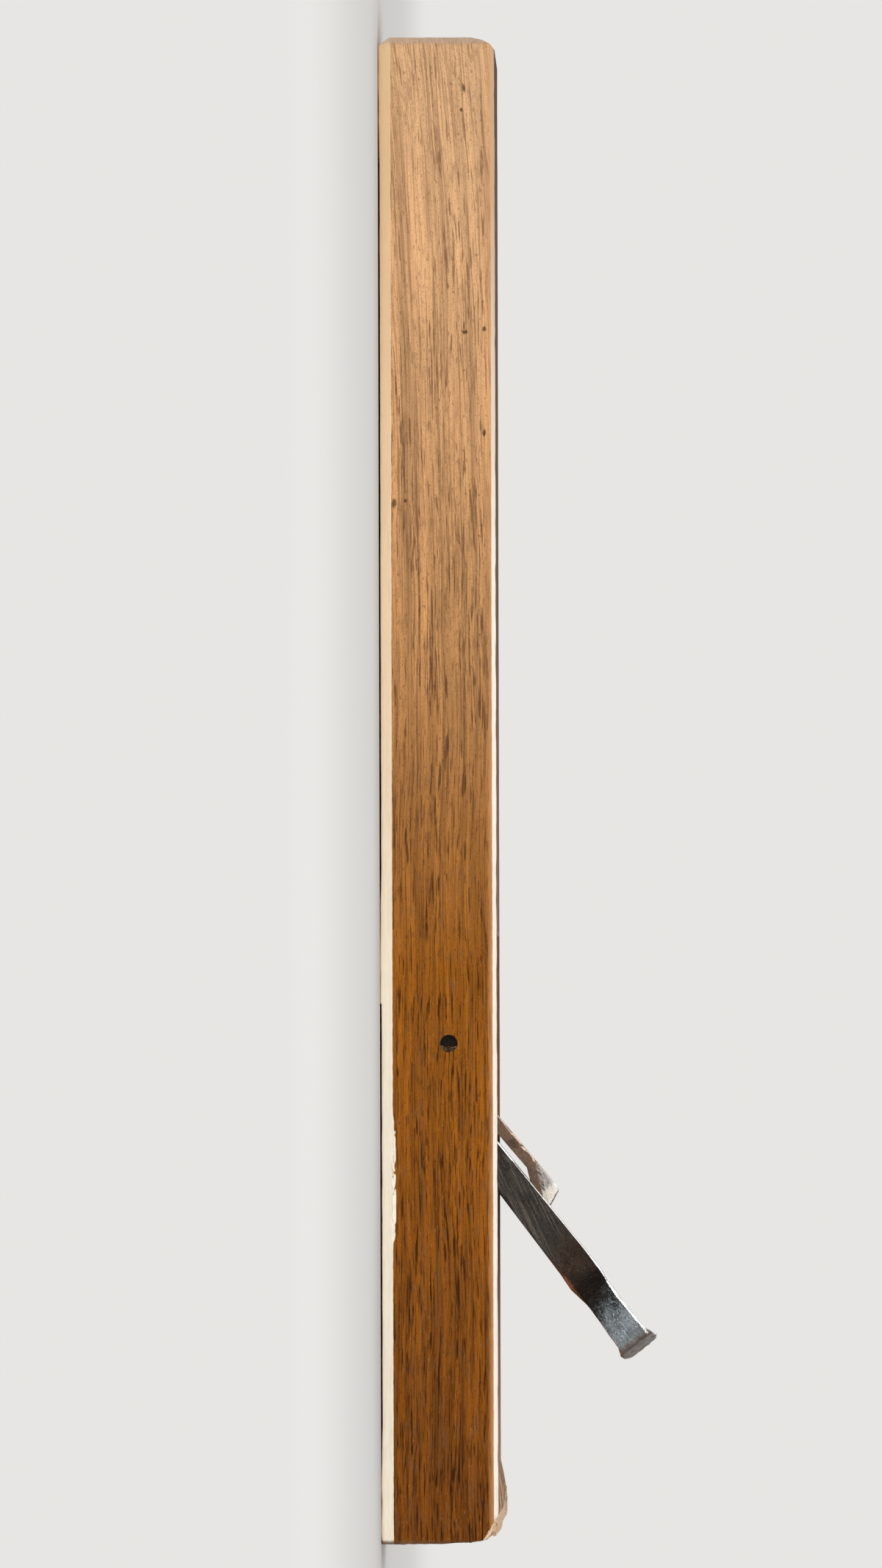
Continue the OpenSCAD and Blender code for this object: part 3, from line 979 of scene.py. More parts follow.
        pale = wires.most(chamfer, band, torn)
        gloss = wires.spread(wires.most(pale, top), *self.gloss)
        gloss = wires.total((gloss, 1.0), (at.oak["Mottle"], self.mottle_gloss))
        height = wires.total(
            (at.oak["Height"], 1.0),
            (wires.times(torn, strands), self.strand_height),
            (marks, self.mark_height),
            (wires.times(pale, wires.grain(at.place, self.plane_track)), self.track_height),
        )
        return finish.close(colour, gloss, height, specular=self.specular)


@dataclass(frozen=True)
class CutOak:
    """The throat, the bed, the grooves and the pin's hole: cut oak, darkened by oil and iron, and
    near-black in the pin's hole as iron stain and painted shade.
    """

    figure: Tree
    ray_cover: float = 0.6
    wood: Colour = paint(142, 98, 58)
    layers: Layers = (
        Stain("Rays", paint(86, 54, 30), 0.6),
        Tone("Fibres", (0.75, 1.25), 0.9),
        Stain("oiled", paint(70, 48, 32), 0.6),
        # Near-black in the pin's hole: iron stain and painted shade in the recess
        Stain("iron_stain_and_painted_shade", paint(20, 13, 9), 0.9),
    )
    oil: Grain = Grain((30.0, 14.0, 14.0), 2.0, 0.5, (0.25, 0.75))
    hole: Span = (2.7, 3.0)
    hole_skin: Span = (36.0, 37.0)
    gloss: Span = (0.62, 0.46)
    tool_cut: Size = (9.0, 6.0, 9.0)
    tool_height: float = 0.12
    specular: float = 0.2

    def build(self) -> Material:
        """Make the material.

        Returns:
            The finished material.
        """
        finish = Finish("oak_cut")
        wires, place = finish.wires, finish.place
        oak = wires.group(self.figure, Place=place, Ray_Cover=self.ray_cover)
        x, y, z = wires.axes(place)
        oiled = wires.grain(place, self.oil)
        # The pin's hole near the side, painted near-black: iron stain and painted shade
        iron_stain_and_painted_shade = wires.fall(wires.reach(wires.less(x, HOLE_X), wires.less(z, HOLE_Z)), *self.hole)
        iron_stain_and_painted_shade = wires.times(iron_stain_and_painted_shade, wires.rise(wires.unsigned(y), *self.hole_skin))
        colour = wires.coat(self.wood, self.layers, {**oak, "oiled": oiled, "iron_stain_and_painted_shade": iron_stain_and_painted_shade})
        cuts = wires.cells(place, self.tool_cut)
        height = wires.total((oak["Height"], 1.0), (cuts, self.tool_height))
        gloss = wires.spread(oiled, *self.gloss)
        return finish.close(colour, gloss, height, specular=self.specular)


@dataclass(frozen=True)
class TornOak:
    """Torn oak: the pale splinters of the struck end, or, in a darker copy that paints shade, the
    bruised fibres in the pin's hole.
    """

    figure: Tree
    name: str = "oak_torn"
    pale: Colour = paint(228, 198, 164)
    brown: Colour = paint(150, 102, 62)
    shade: float = 0.5
    soft: float = 0.12
    ray_cover: float = 0.6
    streak: Grain = Grain((1.4, 0.4, 0.35), 3.0)
    fibre_shades: Span = (0.8, 1.2)
    fibre_amount: float = 0.9
    gloss: Span = (0.85, 0.7)
    streak_height: float = 0.12
    specular: float = 0.25

    def build(self) -> Material:
        """Make the material.

        Returns:
            The finished material.
        """
        finish = Finish(self.name)
        wires, place = finish.wires, finish.place
        oak = wires.group(self.figure, Place=place, Ray_Cover=self.ray_cover)
        streaks = wires.grain(place, self.streak)
        pale = wires.rise(streaks, self.shade - self.soft, self.shade + self.soft)
        colour = wires.lay(pale, self.brown, self.pale)
        colour = wires.tone(colour, oak["Fibres"], self.fibre_shades, self.fibre_amount)
        height = wires.total((oak["Height"], 1.0), (streaks, self.streak_height))
        gloss = wires.spread(streaks, *self.gloss)
        return finish.close(colour, gloss, height, specular=self.specular)


@dataclass(frozen=True)
class ForgedIron:
    """The blade's iron: filed near the body, brown in the middle and hammered at the head, with
    painted glints on the head and a painted highlight along the face's arris.
    """

    skin: Tree
    files: Tree
    pitting: float = 0.9
    steel: Colour = paint(70, 65, 59)
    scale: Colour = paint(15, 10, 8)
    bright: Colour = paint(98, 104, 107)
    rim: Colour = paint(92, 74, 62)
    along: Stops = (
        (0.30, steel),
        (0.64, steel),
        (0.71, paint(43, 32, 25)),
        (0.77, paint(27, 19, 13)),
        (0.82, scale),
        (0.86, paint(28, 28, 29)),
        (0.92, bright),
        (0.965, bright),
        (1.0, rim),
    )
    layers: Layers = (
        Stain("strokes", paint(24, 21, 19), 0.8),
        Stain("grit", paint(80, 64, 50), 0.45),
        Tone("Clouds", (0.6, 1.4), 0.8),
        Tone("Specks", (0.55, 1.45), 0.75),
        Stain("Pits", scale, 0.8),
        Stain("Scratches", bright, 0.22),
        # Painted glints: bright specks on the hammered head stand in for highlights
        Stain("painted_glints", paint(168, 175, 178), 0.62),
        Stain("rust", paint(112, 62, 32), 0.7),
    )
    rim_amount: float = 0.8
    rim_glint: float = 0.4
    # Painted highlight: a near-white line along the face's arris
    arris: Colour = paint(232, 232, 228)
    arris_amount: float = 0.95

    # Where each shows: clouds move the colours to and fro, and they lean with the thickness
    drift: Span = (-7.0, 7.0)
    lean: float = 0.35
    filed_end: Span = (80.0, 92.0)
    filed_out: Span = (34.0, 34.6)
    stroke_edge: Span = (0.2, 0.9)
    grit: Grain = Grain((0.55, 0.6, 0.35), 4.0, 0.8, (0.55, 0.72))
    grit_u: Span = (60.0, 98.0)
    grit_soft: float = 10.0
    painted_glints: Grain = Grain((1.0, 1.4, 0.42), 5.0, 1.6, (0.44, 0.76))
    painted_glints_from: Span = (100.0, 110.0)
    back_taper: float = -math.tan(math.radians(2.0))
    back_depth: float = 6.7
    rust_deep: Span = (0.3, 1.1)
    rust_from: Span = (84.0, 98.0)
    rim_jag: Span = (-1.5, 1.5)
    rim_from: Span = (BLADE_L - 5.0, BLADE_L - 2.5)

    # The arris along the face, painted as a bright highlight, which follows the narrower, stepped head
    narrow_to: float = SHOULDER + 5.0
    narrower: float = -2.5
    step_to: float = SHOULDER + 10.0
    step: float = -0.9
    ragged_from: Span = (96.0, 106.0)
    ragged_by: Span = (0.15, 1.0)
    wide_from: Span = (90.0, 104.0)
    widths: Span = (0.28, 0.72)
    arris_edge: Span = (-0.08, 0.06)
    face_in: Span = (0.3, 0.7)
    face_amount: float = 0.6
    side_in: Span = (1.1, 1.5)
    side_below: Span = (0.04, 0.14)

    # Gloss and relief
    rough: Span = (0.30, 0.62)
    arris_gloss: float = -0.12
    dent: Size = (2.6, 3.0, 2.2)
    dents_from: Span = (97.0, 105.0)
    dent_height: float = 0.22
    metal: Span = (1.0, 0.8)

    def edge_mask(self, wires: Wires, place: Socket, specks: Socket) -> Socket:
        """Give the mask of the painted highlight along the arris.

        Args:
            wires: The material's wires.
            place: Position in the blade's own frame.
            specks: The metal's specks, which break the arris up.

        Returns:
            The mask.
        """
        u, y, h = wires.axes(place)
        narrowing = wires.rise(u, SHOULDER, self.narrow_to)
        half = wires.sums("MULTIPLY_ADD", narrowing, self.narrower, BLADE_HALF_W)
        from_side = wires.less(half, wires.unsigned(y))
        below = wires.less(wires.times(wires.rise(u, SHOULDER, self.step_to), self.step), h)
        jag = wires.spread(wires.rise(u, *self.ragged_from), *self.ragged_by)
        jag = wires.times(wires.less(specks, 0.5), jag)
        width = wires.spread(wires.rise(u, *self.wide_from), *self.widths)
        edge = wires.fall(wires.less(wires.add(below, jag), width), *self.arris_edge)
        on_face = wires.times(wires.fall(from_side, *self.face_in), self.face_amount)
        on_side = wires.fall(from_side, *self.side_in)
        on_side = wires.times(on_side, wires.rise(below, *self.side_below))
        return wires.times(edge, wires.most(on_face, on_side))

    def build(self) -> Material:
        """Make the material.

        Returns:
            The finished material.
        """
        finish = Finish("forged_iron")
        wires = finish.wires
        place = finish.turned(BLADE_PLATE)
        u, y, h = wires.axes(place)
        skin = wires.group(self.skin, Place=place, Pitting=self.pitting)
        files = wires.group(self.files, Place=place)
        clouds, specks = skin["Clouds"], skin["Specks"]
        drift = wires.add(u, wires.spread(clouds, *self.drift))
        drift = wires.sums("MULTIPLY_ADD", h, self.lean, drift)
        filed = wires.fall(drift, *self.filed_end)
        filed = wires.times(filed, wires.rise(wires.unsigned(y), *self.filed_out))
        strokes = wires.times(filed, wires.fall(files["Strokes"], *self.stroke_edge))
        grit = wires.band(drift, *self.grit_u, self.grit_soft)
        grit = wires.times(grit, wires.grain(place, self.grit))
        # Painted glints on the hammered head
        painted_glints = wires.rise(drift, *self.painted_glints_from)
        painted_glints = wires.times(painted_glints, wires.grain(place, self.painted_glints))
        back = wires.less(wires.times(u, self.back_taper), self.back_depth)
        rust = wires.fall(wires.less(h, back), *self.rust_deep)
        rust = wires.times(rust, wires.rise(wires.add(u, specks), *self.rust_from))
        masks = {**skin, "strokes": strokes, "grit": grit, "painted_glints": painted_glints, "rust": rust}
        colour = wires.ramp(wires.times(drift, 1.0 / BLADE_L), self.along)
        colour = wires.coat(colour, self.layers, masks)
        at_rim = wires.add(u, wires.spread(clouds, *self.rim_jag))
        # The rim carries the painted glints too
        rim = wires.stain(self.rim, self.bright, painted_glints, self.rim_glint)
        colour = wires.stain(colour, rim, wires.rise(at_rim, *self.rim_from), self.rim_amount)
        # Painted highlight along the arris
        edge = self.edge_mask(wires, place, specks)
        colour = wires.stain(colour, self.arris, edge, self.arris_amount)

        gloss = wires.total((wires.spread(clouds, *self.rough), 1.0), (edge, self.arris_gloss))
        dents = wires.times(wires.rise(u, *self.dents_from), wires.cells(place, self.dent))
        height = wires.total(
            (skin["Height"], 1.0),
            (dents, self.dent_height),
            (wires.times(filed, files["Height"]), 1.0),
        )
        return finish.close(colour, gloss, height, wires.spread(specks, *self.metal))


@dataclass(frozen=True)
class EdgeSteel:
    """The hard layers: bright ground steel, a few stains, and filed sides with a painted highlight
    along their arris.
    """

    skin: Tree
    files: Tree
    pitting: float = 0.3
    stained: Grain = Grain((16.0, 20.0, 9.0), 3.0, 0.0, (0.35, 0.75))
    stoned: Grain = Grain((0.25, 14.0, 0.25))
    steel: Colour = paint(150, 152, 155)
    stain: Colour = paint(94, 82, 72)
    layers: Layers = (
        Tone("stoned", (0.8, 1.2), 0.8),
        Stain("stained", stain, 0.4),
        Stain("Pits", stain, 0.3),
    )
    filed: Colour = paint(70, 65, 59)
    filed_layers: Layers = (
        Stain("strokes", paint(24, 21, 19), 0.75),
        # Painted highlight: a near-white line along the filed side's arris
        Stain("arris", paint(232, 232, 228)),
    )
    side_out: Span = (34.90, 34.97)
    stroke_edge: Span = (0.2, 0.9)
    arris_h: Span = (-0.42, -0.30)
    gloss: Span = (0.36, 0.50)
    stone_height: float = 0.010
    file_height: float = 0.6

    def build(self) -> Material:
        """Make the material.

        Returns:
            The finished material.
        """
        finish = Finish("edge_steel")
        wires = finish.wires
        place = finish.turned(BLADE_PLATE)
        y, h = wires.axes(place)[1:]
        skin = wires.group(self.skin, Place=place, Pitting=self.pitting)
        files = wires.group(self.files, Place=place)
        stoned, stained = wires.grain(place, self.stoned), wires.grain(place, self.stained)
        strokes = wires.fall(files["Strokes"], *self.stroke_edge)
        # Where the painted highlight along the arris lies
        arris = wires.rise(h, *self.arris_h)
        side = wires.rise(wires.unsigned(y), *self.side_out)
        ground = wires.coat(self.steel, self.layers, {**skin, "stoned": stoned, "stained": stained})
        filed = wires.coat(self.filed, self.filed_layers, {"strokes": strokes, "arris": arris})
        colour = wires.lay(side, ground, filed)
        height = wires.total(
            (stoned, self.stone_height), (wires.times(files["Height"], side), self.file_height)
        )
        gloss = wires.spread(wires.most(stained, side), *self.gloss)
        return finish.close(colour, gloss, height, 1.0)


@dataclass(frozen=True)
class RustedIron:
    """The chipbreaker's iron: a brown rust skin, flaked upper edges and ears ground bare."""

    skin: Tree
    pitting: float = 1.0
    grit: Grain = Grain((0.5, 0.6, 0.35), 3.0, 0.5, (0.56, 0.70))
    scraped: Grain = Grain((3.0, 0.8, 0.5), 3.0, 0.5, (0.40, 0.64))
    dark: Colour = paint(62, 47, 37)
    brown: Colour = paint(110, 87, 69)
    clouds: Stops = ((0.30, dark), (0.48, brown), (0.62, brown), (0.74, paint(118, 84, 60)))
    flake: Colour = paint(226, 192, 174)
    layers: Layers = (
        Tone("Specks", (0.3, 1.7), 0.8),
        Stain("Pits", dark, 0.5),
        Stain("grit", paint(140, 120, 102), 0.5),
        Stain("worn", flake),
    )
    ground: Colour = paint(80, 74, 69)
    ear_layers: Layers = (
        Stain("scraped", paint(146, 137, 129)),
        Stain("tip", paint(206, 198, 186), 0.8),
        Tone("Specks", (0.3, 1.7), 0.5),
    )
    ear_amount: float = 0.9
    fold_amount: float = 0.8

    # The flaked upper arris, which ends at the fold of the ear
    flaking: Grain = Grain((3.0, 1.2, 0.7), 3.0)
    flake_reach: Span = (0.9, -1.0)
    flake_edge: Span = (0.36, 0.5)
    side_in: Span = (0.35, 0.8)
    side_amount: float = 0.95
    fold_edge: Span = (-0.2, 0.2)

    # The folded ear
    length: float = 71.0
    ear: Span = (9.0, 12.0)
    fold: float = math.tan(math.radians(32.0))
    ear_from: Span = (-0.1, 0.2)
    ear_below: Span = (0.35, 0.6)
    tip_back: float = 1.6
    fold_line: Span = (-0.1, 0.15)
    fold_soft: float = 0.15

    # Gloss and relief
    rough: Span = (0.55, 0.75)
    bare_gloss: float = -0.15
    worn_height: float = -0.12
    metal: Span = (0.55, 0.75)

    def build(self) -> Material:
        """Make the material.

        Returns:
            The finished material.
        """
        finish = Finish("rusted_iron")
        wires = finish.wires
        place = finish.turned(BREAKER_PLATE)
        u, y, h = wires.axes(place)
        skin = wires.group(self.skin, Place=place, Pitting=self.pitting)
        tapered = wires.less(u, BREAKER_THIN_FROM)
        upper = wires.sums("MULTIPLY_ADD", tapered, -BREAKER_TAPER, BREAKER_THICK)
        below = wires.less(upper, h)
        from_side = wires.less(BREAKER_HALF_W, wires.unsigned(y))
        run = math.hypot(*self.ear)
        past_fold = wires.times(wires.less(u, self.length - self.ear[0]), self.ear[1] / run)
        past_fold = wires.less(past_fold, wires.times(from_side, self.ear[0] / run))
        flaking = wires.spread(wires.grain(place, self.flaking), *self.flake_reach)
        worn = wires.fall(wires.add(below, flaking), *self.flake_edge)
        at_side = wires.times(wires.fall(from_side, *self.side_in), self.side_amount)
        worn = wires.times(worn, wires.times(at_side, wires.fall(past_fold, *self.fold_edge)))
        masks = {**skin, "worn": worn, "grit": wires.grain(place, self.grit)}
        colour = wires.coat(wires.ramp(skin["Clouds"], self.clouds), self.layers, masks)

        drop = wires.times(wires.most(past_fold, 0.0), self.fold)
        on_ear = wires.fall(wires.less(below, drop), *self.ear_below)
        ear = wires.times(wires.rise(past_fold, *self.ear_from), on_ear)
        scraped = wires.grain(place, self.scraped)
        tip = wires.rise(wires.add(u, scraped), self.length - self.tip_back, self.length)
        bared = wires.coat(self.ground, self.ear_layers, {**skin, "scraped": scraped, "tip": tip})
        colour = wires.stain(colour, bared, ear, self.ear_amount)
        rim = wires.times(wires.band(past_fold, *self.fold_line, self.fold_soft), on_ear)
        colour = wires.stain(colour, self.flake, rim, self.fold_amount)

        bare = wires.most(worn, ear)
        gloss = wires.spread(skin["Clouds"], *self.rough)
        gloss = wires.total((gloss, 1.0), (bare, self.bare_gloss))
        height = wires.total((skin["Height"], 1.0), (worn, self.worn_height))
        return finish.close(colour, gloss, height, wires.spread(bare, *self.metal))


@dataclass(frozen=True)
class PinIron:
    """The cross pin: an iron rod, coloured near-black for blackened iron and as painted shade in its
    recess.
    """

    skin: Tree
    pitting: float = 0.8
    # Near-black: blackened iron, darkened further as painted shade in the recess
    black: Colour = paint(12, 10, 9)
    layers: Layers = (
        Stain("Clouds", paint(36, 24, 17), 1.0, (0.42, 0.66)),
        Stain("Pits", black, 0.7),
    )
    gloss: Span = (0.6, 0.8)
    specular: float = 0.12

    def build(self) -> Material:
        """Make the material.

        Returns:
            The finished material.
        """
        finish = Finish("pin_iron")
        wires = finish.wires
        skin = wires.group(self.skin, Place=finish.place, Pitting=self.pitting)
        colour = wires.coat(self.black, self.layers, skin)
        gloss = wires.spread(skin["Clouds"], *self.gloss)
        return finish.close(colour, gloss, skin["Height"], specular=self.specular)


def to_object(
    bm: bmesh.types.BMesh, name: str, materials: Sequence[Material], crease: float = 30.0
) -> Piece:
    """Turn a bmesh into a smooth-shaded object with creases.

    Args:
        bm: The mesh, which is used up.
        name: The object's name.
        materials: Its materials, in the order of the faces' numbers.
        crease: Edges that turn by more than this many degrees stay sharp.

    Returns:
        The new object, at the origin.
    """
    for face in bm.faces:
        face.smooth = True
    mesh = bpy.data.meshes.new(name)
    bm.to_mesh(mesh)
    bm.free()
    mesh.set_sharp_from_angle(angle=math.radians(crease))
    for material in materials:
        mesh.materials.append(material)
    piece = bpy.data.objects.new(name, mesh)
    bpy.context.scene.collection.objects.link(piece)
    return piece


def dress(node: str, material: Material) -> None:
    """Give a CAD node that keeps its shape a finished material."""
    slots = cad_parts[node].material_slots
    for place in slots:
        place.material = material
    if not slots:
        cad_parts[node].data.materials.append(material)


class Carving:
    """A welded copy of a CAD node's mesh, cut finer so that its surface can be worn and dented."""

    WELD = 0.000001
    FLAT = math.radians(0.2)

    def __init__(self, node: str, plate: Plate | None = None) -> None:
        """Copy and weld the node's mesh.

        Args:
            node: The CAD node's name.
            plate: The frame that the mesh is carved in, or None for the object's own.
        """
        self.node = node
        self.turn = plate.inward() if plate else Matrix()
        self.bm = bmesh.new()
        self.bm.from_mesh(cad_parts[node].data)
        bmesh.ops.remove_doubles(self.bm, verts=self.bm.verts, dist=self.WELD)
        bmesh.ops.dissolve_limit(
            self.bm, angle_limit=self.FLAT, verts=self.bm.verts, edges=self.bm.edges
        )
        self.volume = self.bm.calc_volume()
        self.bm.transform(self.turn)

    def round_edges(self, wanted: Callable[[Vector], bool], radius: float, angle: float) -> None:
        """Round the convex edges that are wanted.

        Args:
            wanted: Says whether an edge is rounded, from its middle in millimetres.
            radius: How far the rounding reaches from the edge, in millimetres.
            angle: Edges that turn by less than this many degrees stay.
        """
        found = [
            edge
            for edge in self.bm.edges
            if edge.is_manifold
            and edge.calc_face_angle_signed(0.0) > math.radians(angle)
            and wanted((edge.verts[0].co + edge.verts[1].co) / (2.0 * MM))
        ]
        bmesh.ops.bevel(
            self.bm, geom=found, offset=radius * MM, segments=2, profile=0.5, affect="EDGES",
            material=-1, clamp_overlap=False,
        )

    def cut(self, axis: int, places: Iterable[float]) -> None:
        """Cut every face along planes square to an axis, without opening it.

        Args:
            axis: 0, 1 or 2 for X, Y or Z.
            places: Where the planes lie along the axis, in millimetres.
        """
        normal = Vector((0.0, 0.0, 0.0))
        normal[axis] = 1.0
        for place in places:
            parts = [*self.bm.verts, *self.bm.edges, *self.bm.faces]
            bmesh.ops.bisect_plane(
                self.bm, geom=parts, dist=self.WELD, plane_co=normal * place * MM, plane_no=normal
            )

    def press(self, depth: Callable[[Vector, Vector], float]) -> None:
        """Press the surface in.

        Args:
            depth: Gives the depth in millimetres from a place in millimetres and its normal.
        """
        self.bm.normal_update()
        depths = [max(0.0, depth(vert.co / MM, vert.normal)) for vert in self.bm.verts]
        moves = [vert.normal * -deep * MM for vert, deep in zip(self.bm.verts, depths)]
        for vert, move in zip(self.bm.verts, moves):
            vert.co += move

    def finish(self, name: str, materials: Sequence[Material], crease: float) -> Piece:
        """Hold every point inside the CAD node's box and turn the carving into an object.

        Args:
            name: The object's name.
            materials: Its materials, in the order of the faces' numbers.
            crease: Edges that turn by more than this many degrees stay sharp.

        Returns:
            The new object.
        """
        self.bm.transform(self.turn.inverted())
        low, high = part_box(self.node)
        for vert in self.bm.verts:
            for axis in range(3):
                vert.co[axis] = min(high[axis], max(low[axis], vert.co[axis]))
        many_sided = [face for face in self.bm.faces if len(face.verts) > 4]
        bmesh.ops.triangulate(self.bm, faces=many_sided)
        log.info("%s: volume %.4f of the CAD node's", name, self.bm.calc_volume() / self.volume)
        return to_object(self.bm, name, materials, crease)


@dataclass(frozen=True)
class Dent:
    """A dent in the near side: its centre, its radius and its depth."""

    x: float
    z: float
    radius: float
    depth: float


@dataclass(frozen=True)
class Splinters:
    """One kind of splinter on the swelling: where its root may lie and its sizes."""

    x: Span
    y: Span
    length: Span
    width: Span
    thick: Span


@dataclass(frozen=True)
class Fibres:
    """One kind of fibre in the pin's hole: the degrees that it spans, its depth and its length."""

    start: Span
    end: Span
    depth: Span
    length: Span


@dataclass
class OakBody:
    """The oak block, with worn arrises, a chipped chamfer and a bruised struck end."""

    outside: Material
    inside: Material
    torn: Material
    bruised: Material

    # Where the block is cut open, and where it has split
    hole_r: float = 2.5
    hole_rim: float = 0.4
    hole_skin: float = 0.1
    throat_x: Span = (30.0, 121.0)
    throat_y: float = 35.6
    sole_below: float = 0.6
    sole_facing: float = -0.9
    split_back: float = 15.0
    split_y: float = -35.0
    split_z: float = 28.5
    split_half: float = 0.8

    # Planes that cut the surface finer, so that it can be worn
    heights: tuple[float, ...] = (
        0.9, 1.8, 2.7, 3.2, 3.7, 4.1, 4.6, 5.2, *steps(6.2, 30.2, 1.5), 31.0, 31.5, 32.2, 32.7,
    )
    widths: tuple[float, ...] = (40.6, 40.0, 39.0, 37.9, *steps(1.5, 36.5, 3.5))
    lengths: tuple[float, ...] = (
        *steps(-211.4, 92.0, 2.2),
        *steps(93.5, 128.5, 0.7),
        *steps(130.0, 190.0, 2.2),
        *steps(191.0, 211.6, 0.55),
    )
    rounding: float = 0.18
    round_angle: float = 20.0
    crease: float = 26.0

    # Wear
    wave: Size = (18.0, 9.0, 9.0)
    wave_depth: float = 0.05
    nick: Size = (7.0, 2.0, 2.0)
    nick_from: float = 0.45
    nick_depth: float = 0.40
    arris_reach: float = 0.6
    end_fibre: Size = (3.0, 0.7, 0.7)
    end_reach: float = 3.0
    end_ease: float = 2.5
    lead_depth: float = 0.10
    struck_depth: float = 0.35
    blow_back: float = 1.5
    blow_facing: float = 0.8
    blow_size: float = 11.0
    blow_narrow: float = 1.8
    blow_depth: float = 0.5
    blow_top: Span = (3.0, 8.0)
    blow_side: Span = (0.5, 4.0)
    settled: float = 0.66
    settled_x: Span = (203.0, 206.6)

    # Chips, dents and the torn bevel of the near side
    chip_x: Span = (94.0, 127.0)
    chip_soft: float = 5.0
    chip: Size = (1.6, 1.0, 1.0)
    chip_edge: Span = (0.45, 0.7)
    chip_depth: float = 0.75
    chip_reach: float = 0.9
    dents: tuple[Dent, ...] = (
        Dent(-197.4, 24.3, 0.9, 0.30),
        Dent(-128.8, 24.4, 0.9, 0.25),
        Dent(-80.6, 4.6, 1.5, 0.45),
        Dent(-100.3, 29.8, 1.2, 0.3),
        Dent(120.0, 12.0, 3.0, 0.12),
        Dent(-30.0, 22.0, 4.0, 0.10),
    )
    dent_skin: float = 0.6
    dent_edge: Span = (0.4, 1.0)
    broken: Size = (1.2, 0.8, 0.6)
    broken_jag: float = 0.8
    broken_above: float = 26.0
    broken_depth: float = 0.9
    broken_edge: float = 2.0
    broken_in: Span = (0.3, 2.0)

    # Slivers of wood: the splinters of the swelling and the fibres in the pin's hole
    sliver_sides: int = 5
    sliver_tip: float = 0.06
    sliver_crease: float = 40.0
    splinter_seed: int = 7
    bold: Splinters = Splinters((199.0, 204.0), (-20.0, 4.0), (3.0, 5.5), (1.0, 1.8), (0.35, 0.5))
    small: Splinters = Splinters((197.0, 206.0), (-37.5, 36.0), (1.2, 3.5), (0.4, 0.9), (0.25, 0.4))
    bold_count: int = 9
    splinter_count: int = 30
    swelling: float = 2.2
    swelling_x: float = 203.0
    swelling_run: float = 16.0
    swelling_half: float = 38.0
    lift: Span = (0.1, 0.4)
    lift_to: float = 35.1
    sideways: Span = (-0.3, 0.3)
    fibre_seed: int = 19
    deep: Fibres = Fibres((-80.0, -40.0), (45.0, 85.0), (1.0, 1.5), (0.3, 0.7))
    shallow: Fibres = Fibres((-60.0, -5.0), (0.0, 62.0), (0.35, 0.9), (0.6, 0.95))
    deep_count: int = 14
    fibre_count: int = 26
    bow: tuple[Span, Span, Span] = ((-0.5, 0.7), (-0.2, 0.2), (-0.3, 0.3))
    fibre_width: Span = (0.12, 0.34)
    fibre_thick: Span = (0.12, 0.28)

    def in_throat(self, point: Vector) -> bool:
        """Say whether a place lies on the throat, the bed, the mouth or the grooves."""
        inside_x = self.throat_x[0] < point.x < self.throat_x[1]
        return inside_x and abs(point.y) < self.throat_y and TINY < point.z < TOP_Z - TINY

    def in_hole(self, point: Vector) -> bool:
        """Say whether a place lies on the pin's hole."""
        reach = math.hypot(point.x - HOLE_X, point.z - HOLE_Z)
        return reach < self.hole_r + self.hole_rim

    def in_split(self, point: Vector) -> bool:
        """Say whether a place lies on the drying check."""
        at_end = point.x > HALF_L - self.split_back and point.y < self.split_y
        return at_end and abs(point.z - self.split_z) < self.split_half

    def wear(self, point: Vector, normal: Vector) -> float:
        """Give how deep the surface is worn, in millimetres.

        Args:
            point: A place on the body, in millimetres.
            normal: The surface's normal there.

        Returns:
            The depth.
        """
        if self.in_throat(point) or self.in_hole(point):
            return 0.0
        in_side = HALF_W - abs(point.y)
        in_top = TOP_Z - point.z
        in_end = HALF_L - abs(point.x)
        depth = self.wave_depth * rough(point, self.wave)
        corner = min(
            math.hypot(in_side, point.z - SOLE_CUT),
            math.hypot(in_side, in_top - TOP_CUT),
            math.hypot(in_side - TOP_CUT, in_top),
            math.hypot(in_side - SOLE_CUT, point.z),
        )
        worn = max(0.0, rough(point, self.nick) - self.nick_from)
        depth += self.nick_depth * worn * fade(corner, self.arris_reach)
        if in_end < self.end_reach:
            most = self.lead_depth if point.x < 0.0 else self.struck_depth
            near = ease(self.end_reach - in_end, 0.0, self.end_ease)
            depth += most * rough(point, self.end_fibre) * near
        if point.x > HALF_L - self.blow_back and normal.x > self.blow_facing:
            inside = ease(in_top, *self.blow_top) * ease(in_side, *self.blow_side)
            depth += self.blow_depth * hollow(point, self.blow_size, self.blow_narrow) * inside
        if point.y < 0.0:
            depth += self.near_damage(point, in_side)
        return depth

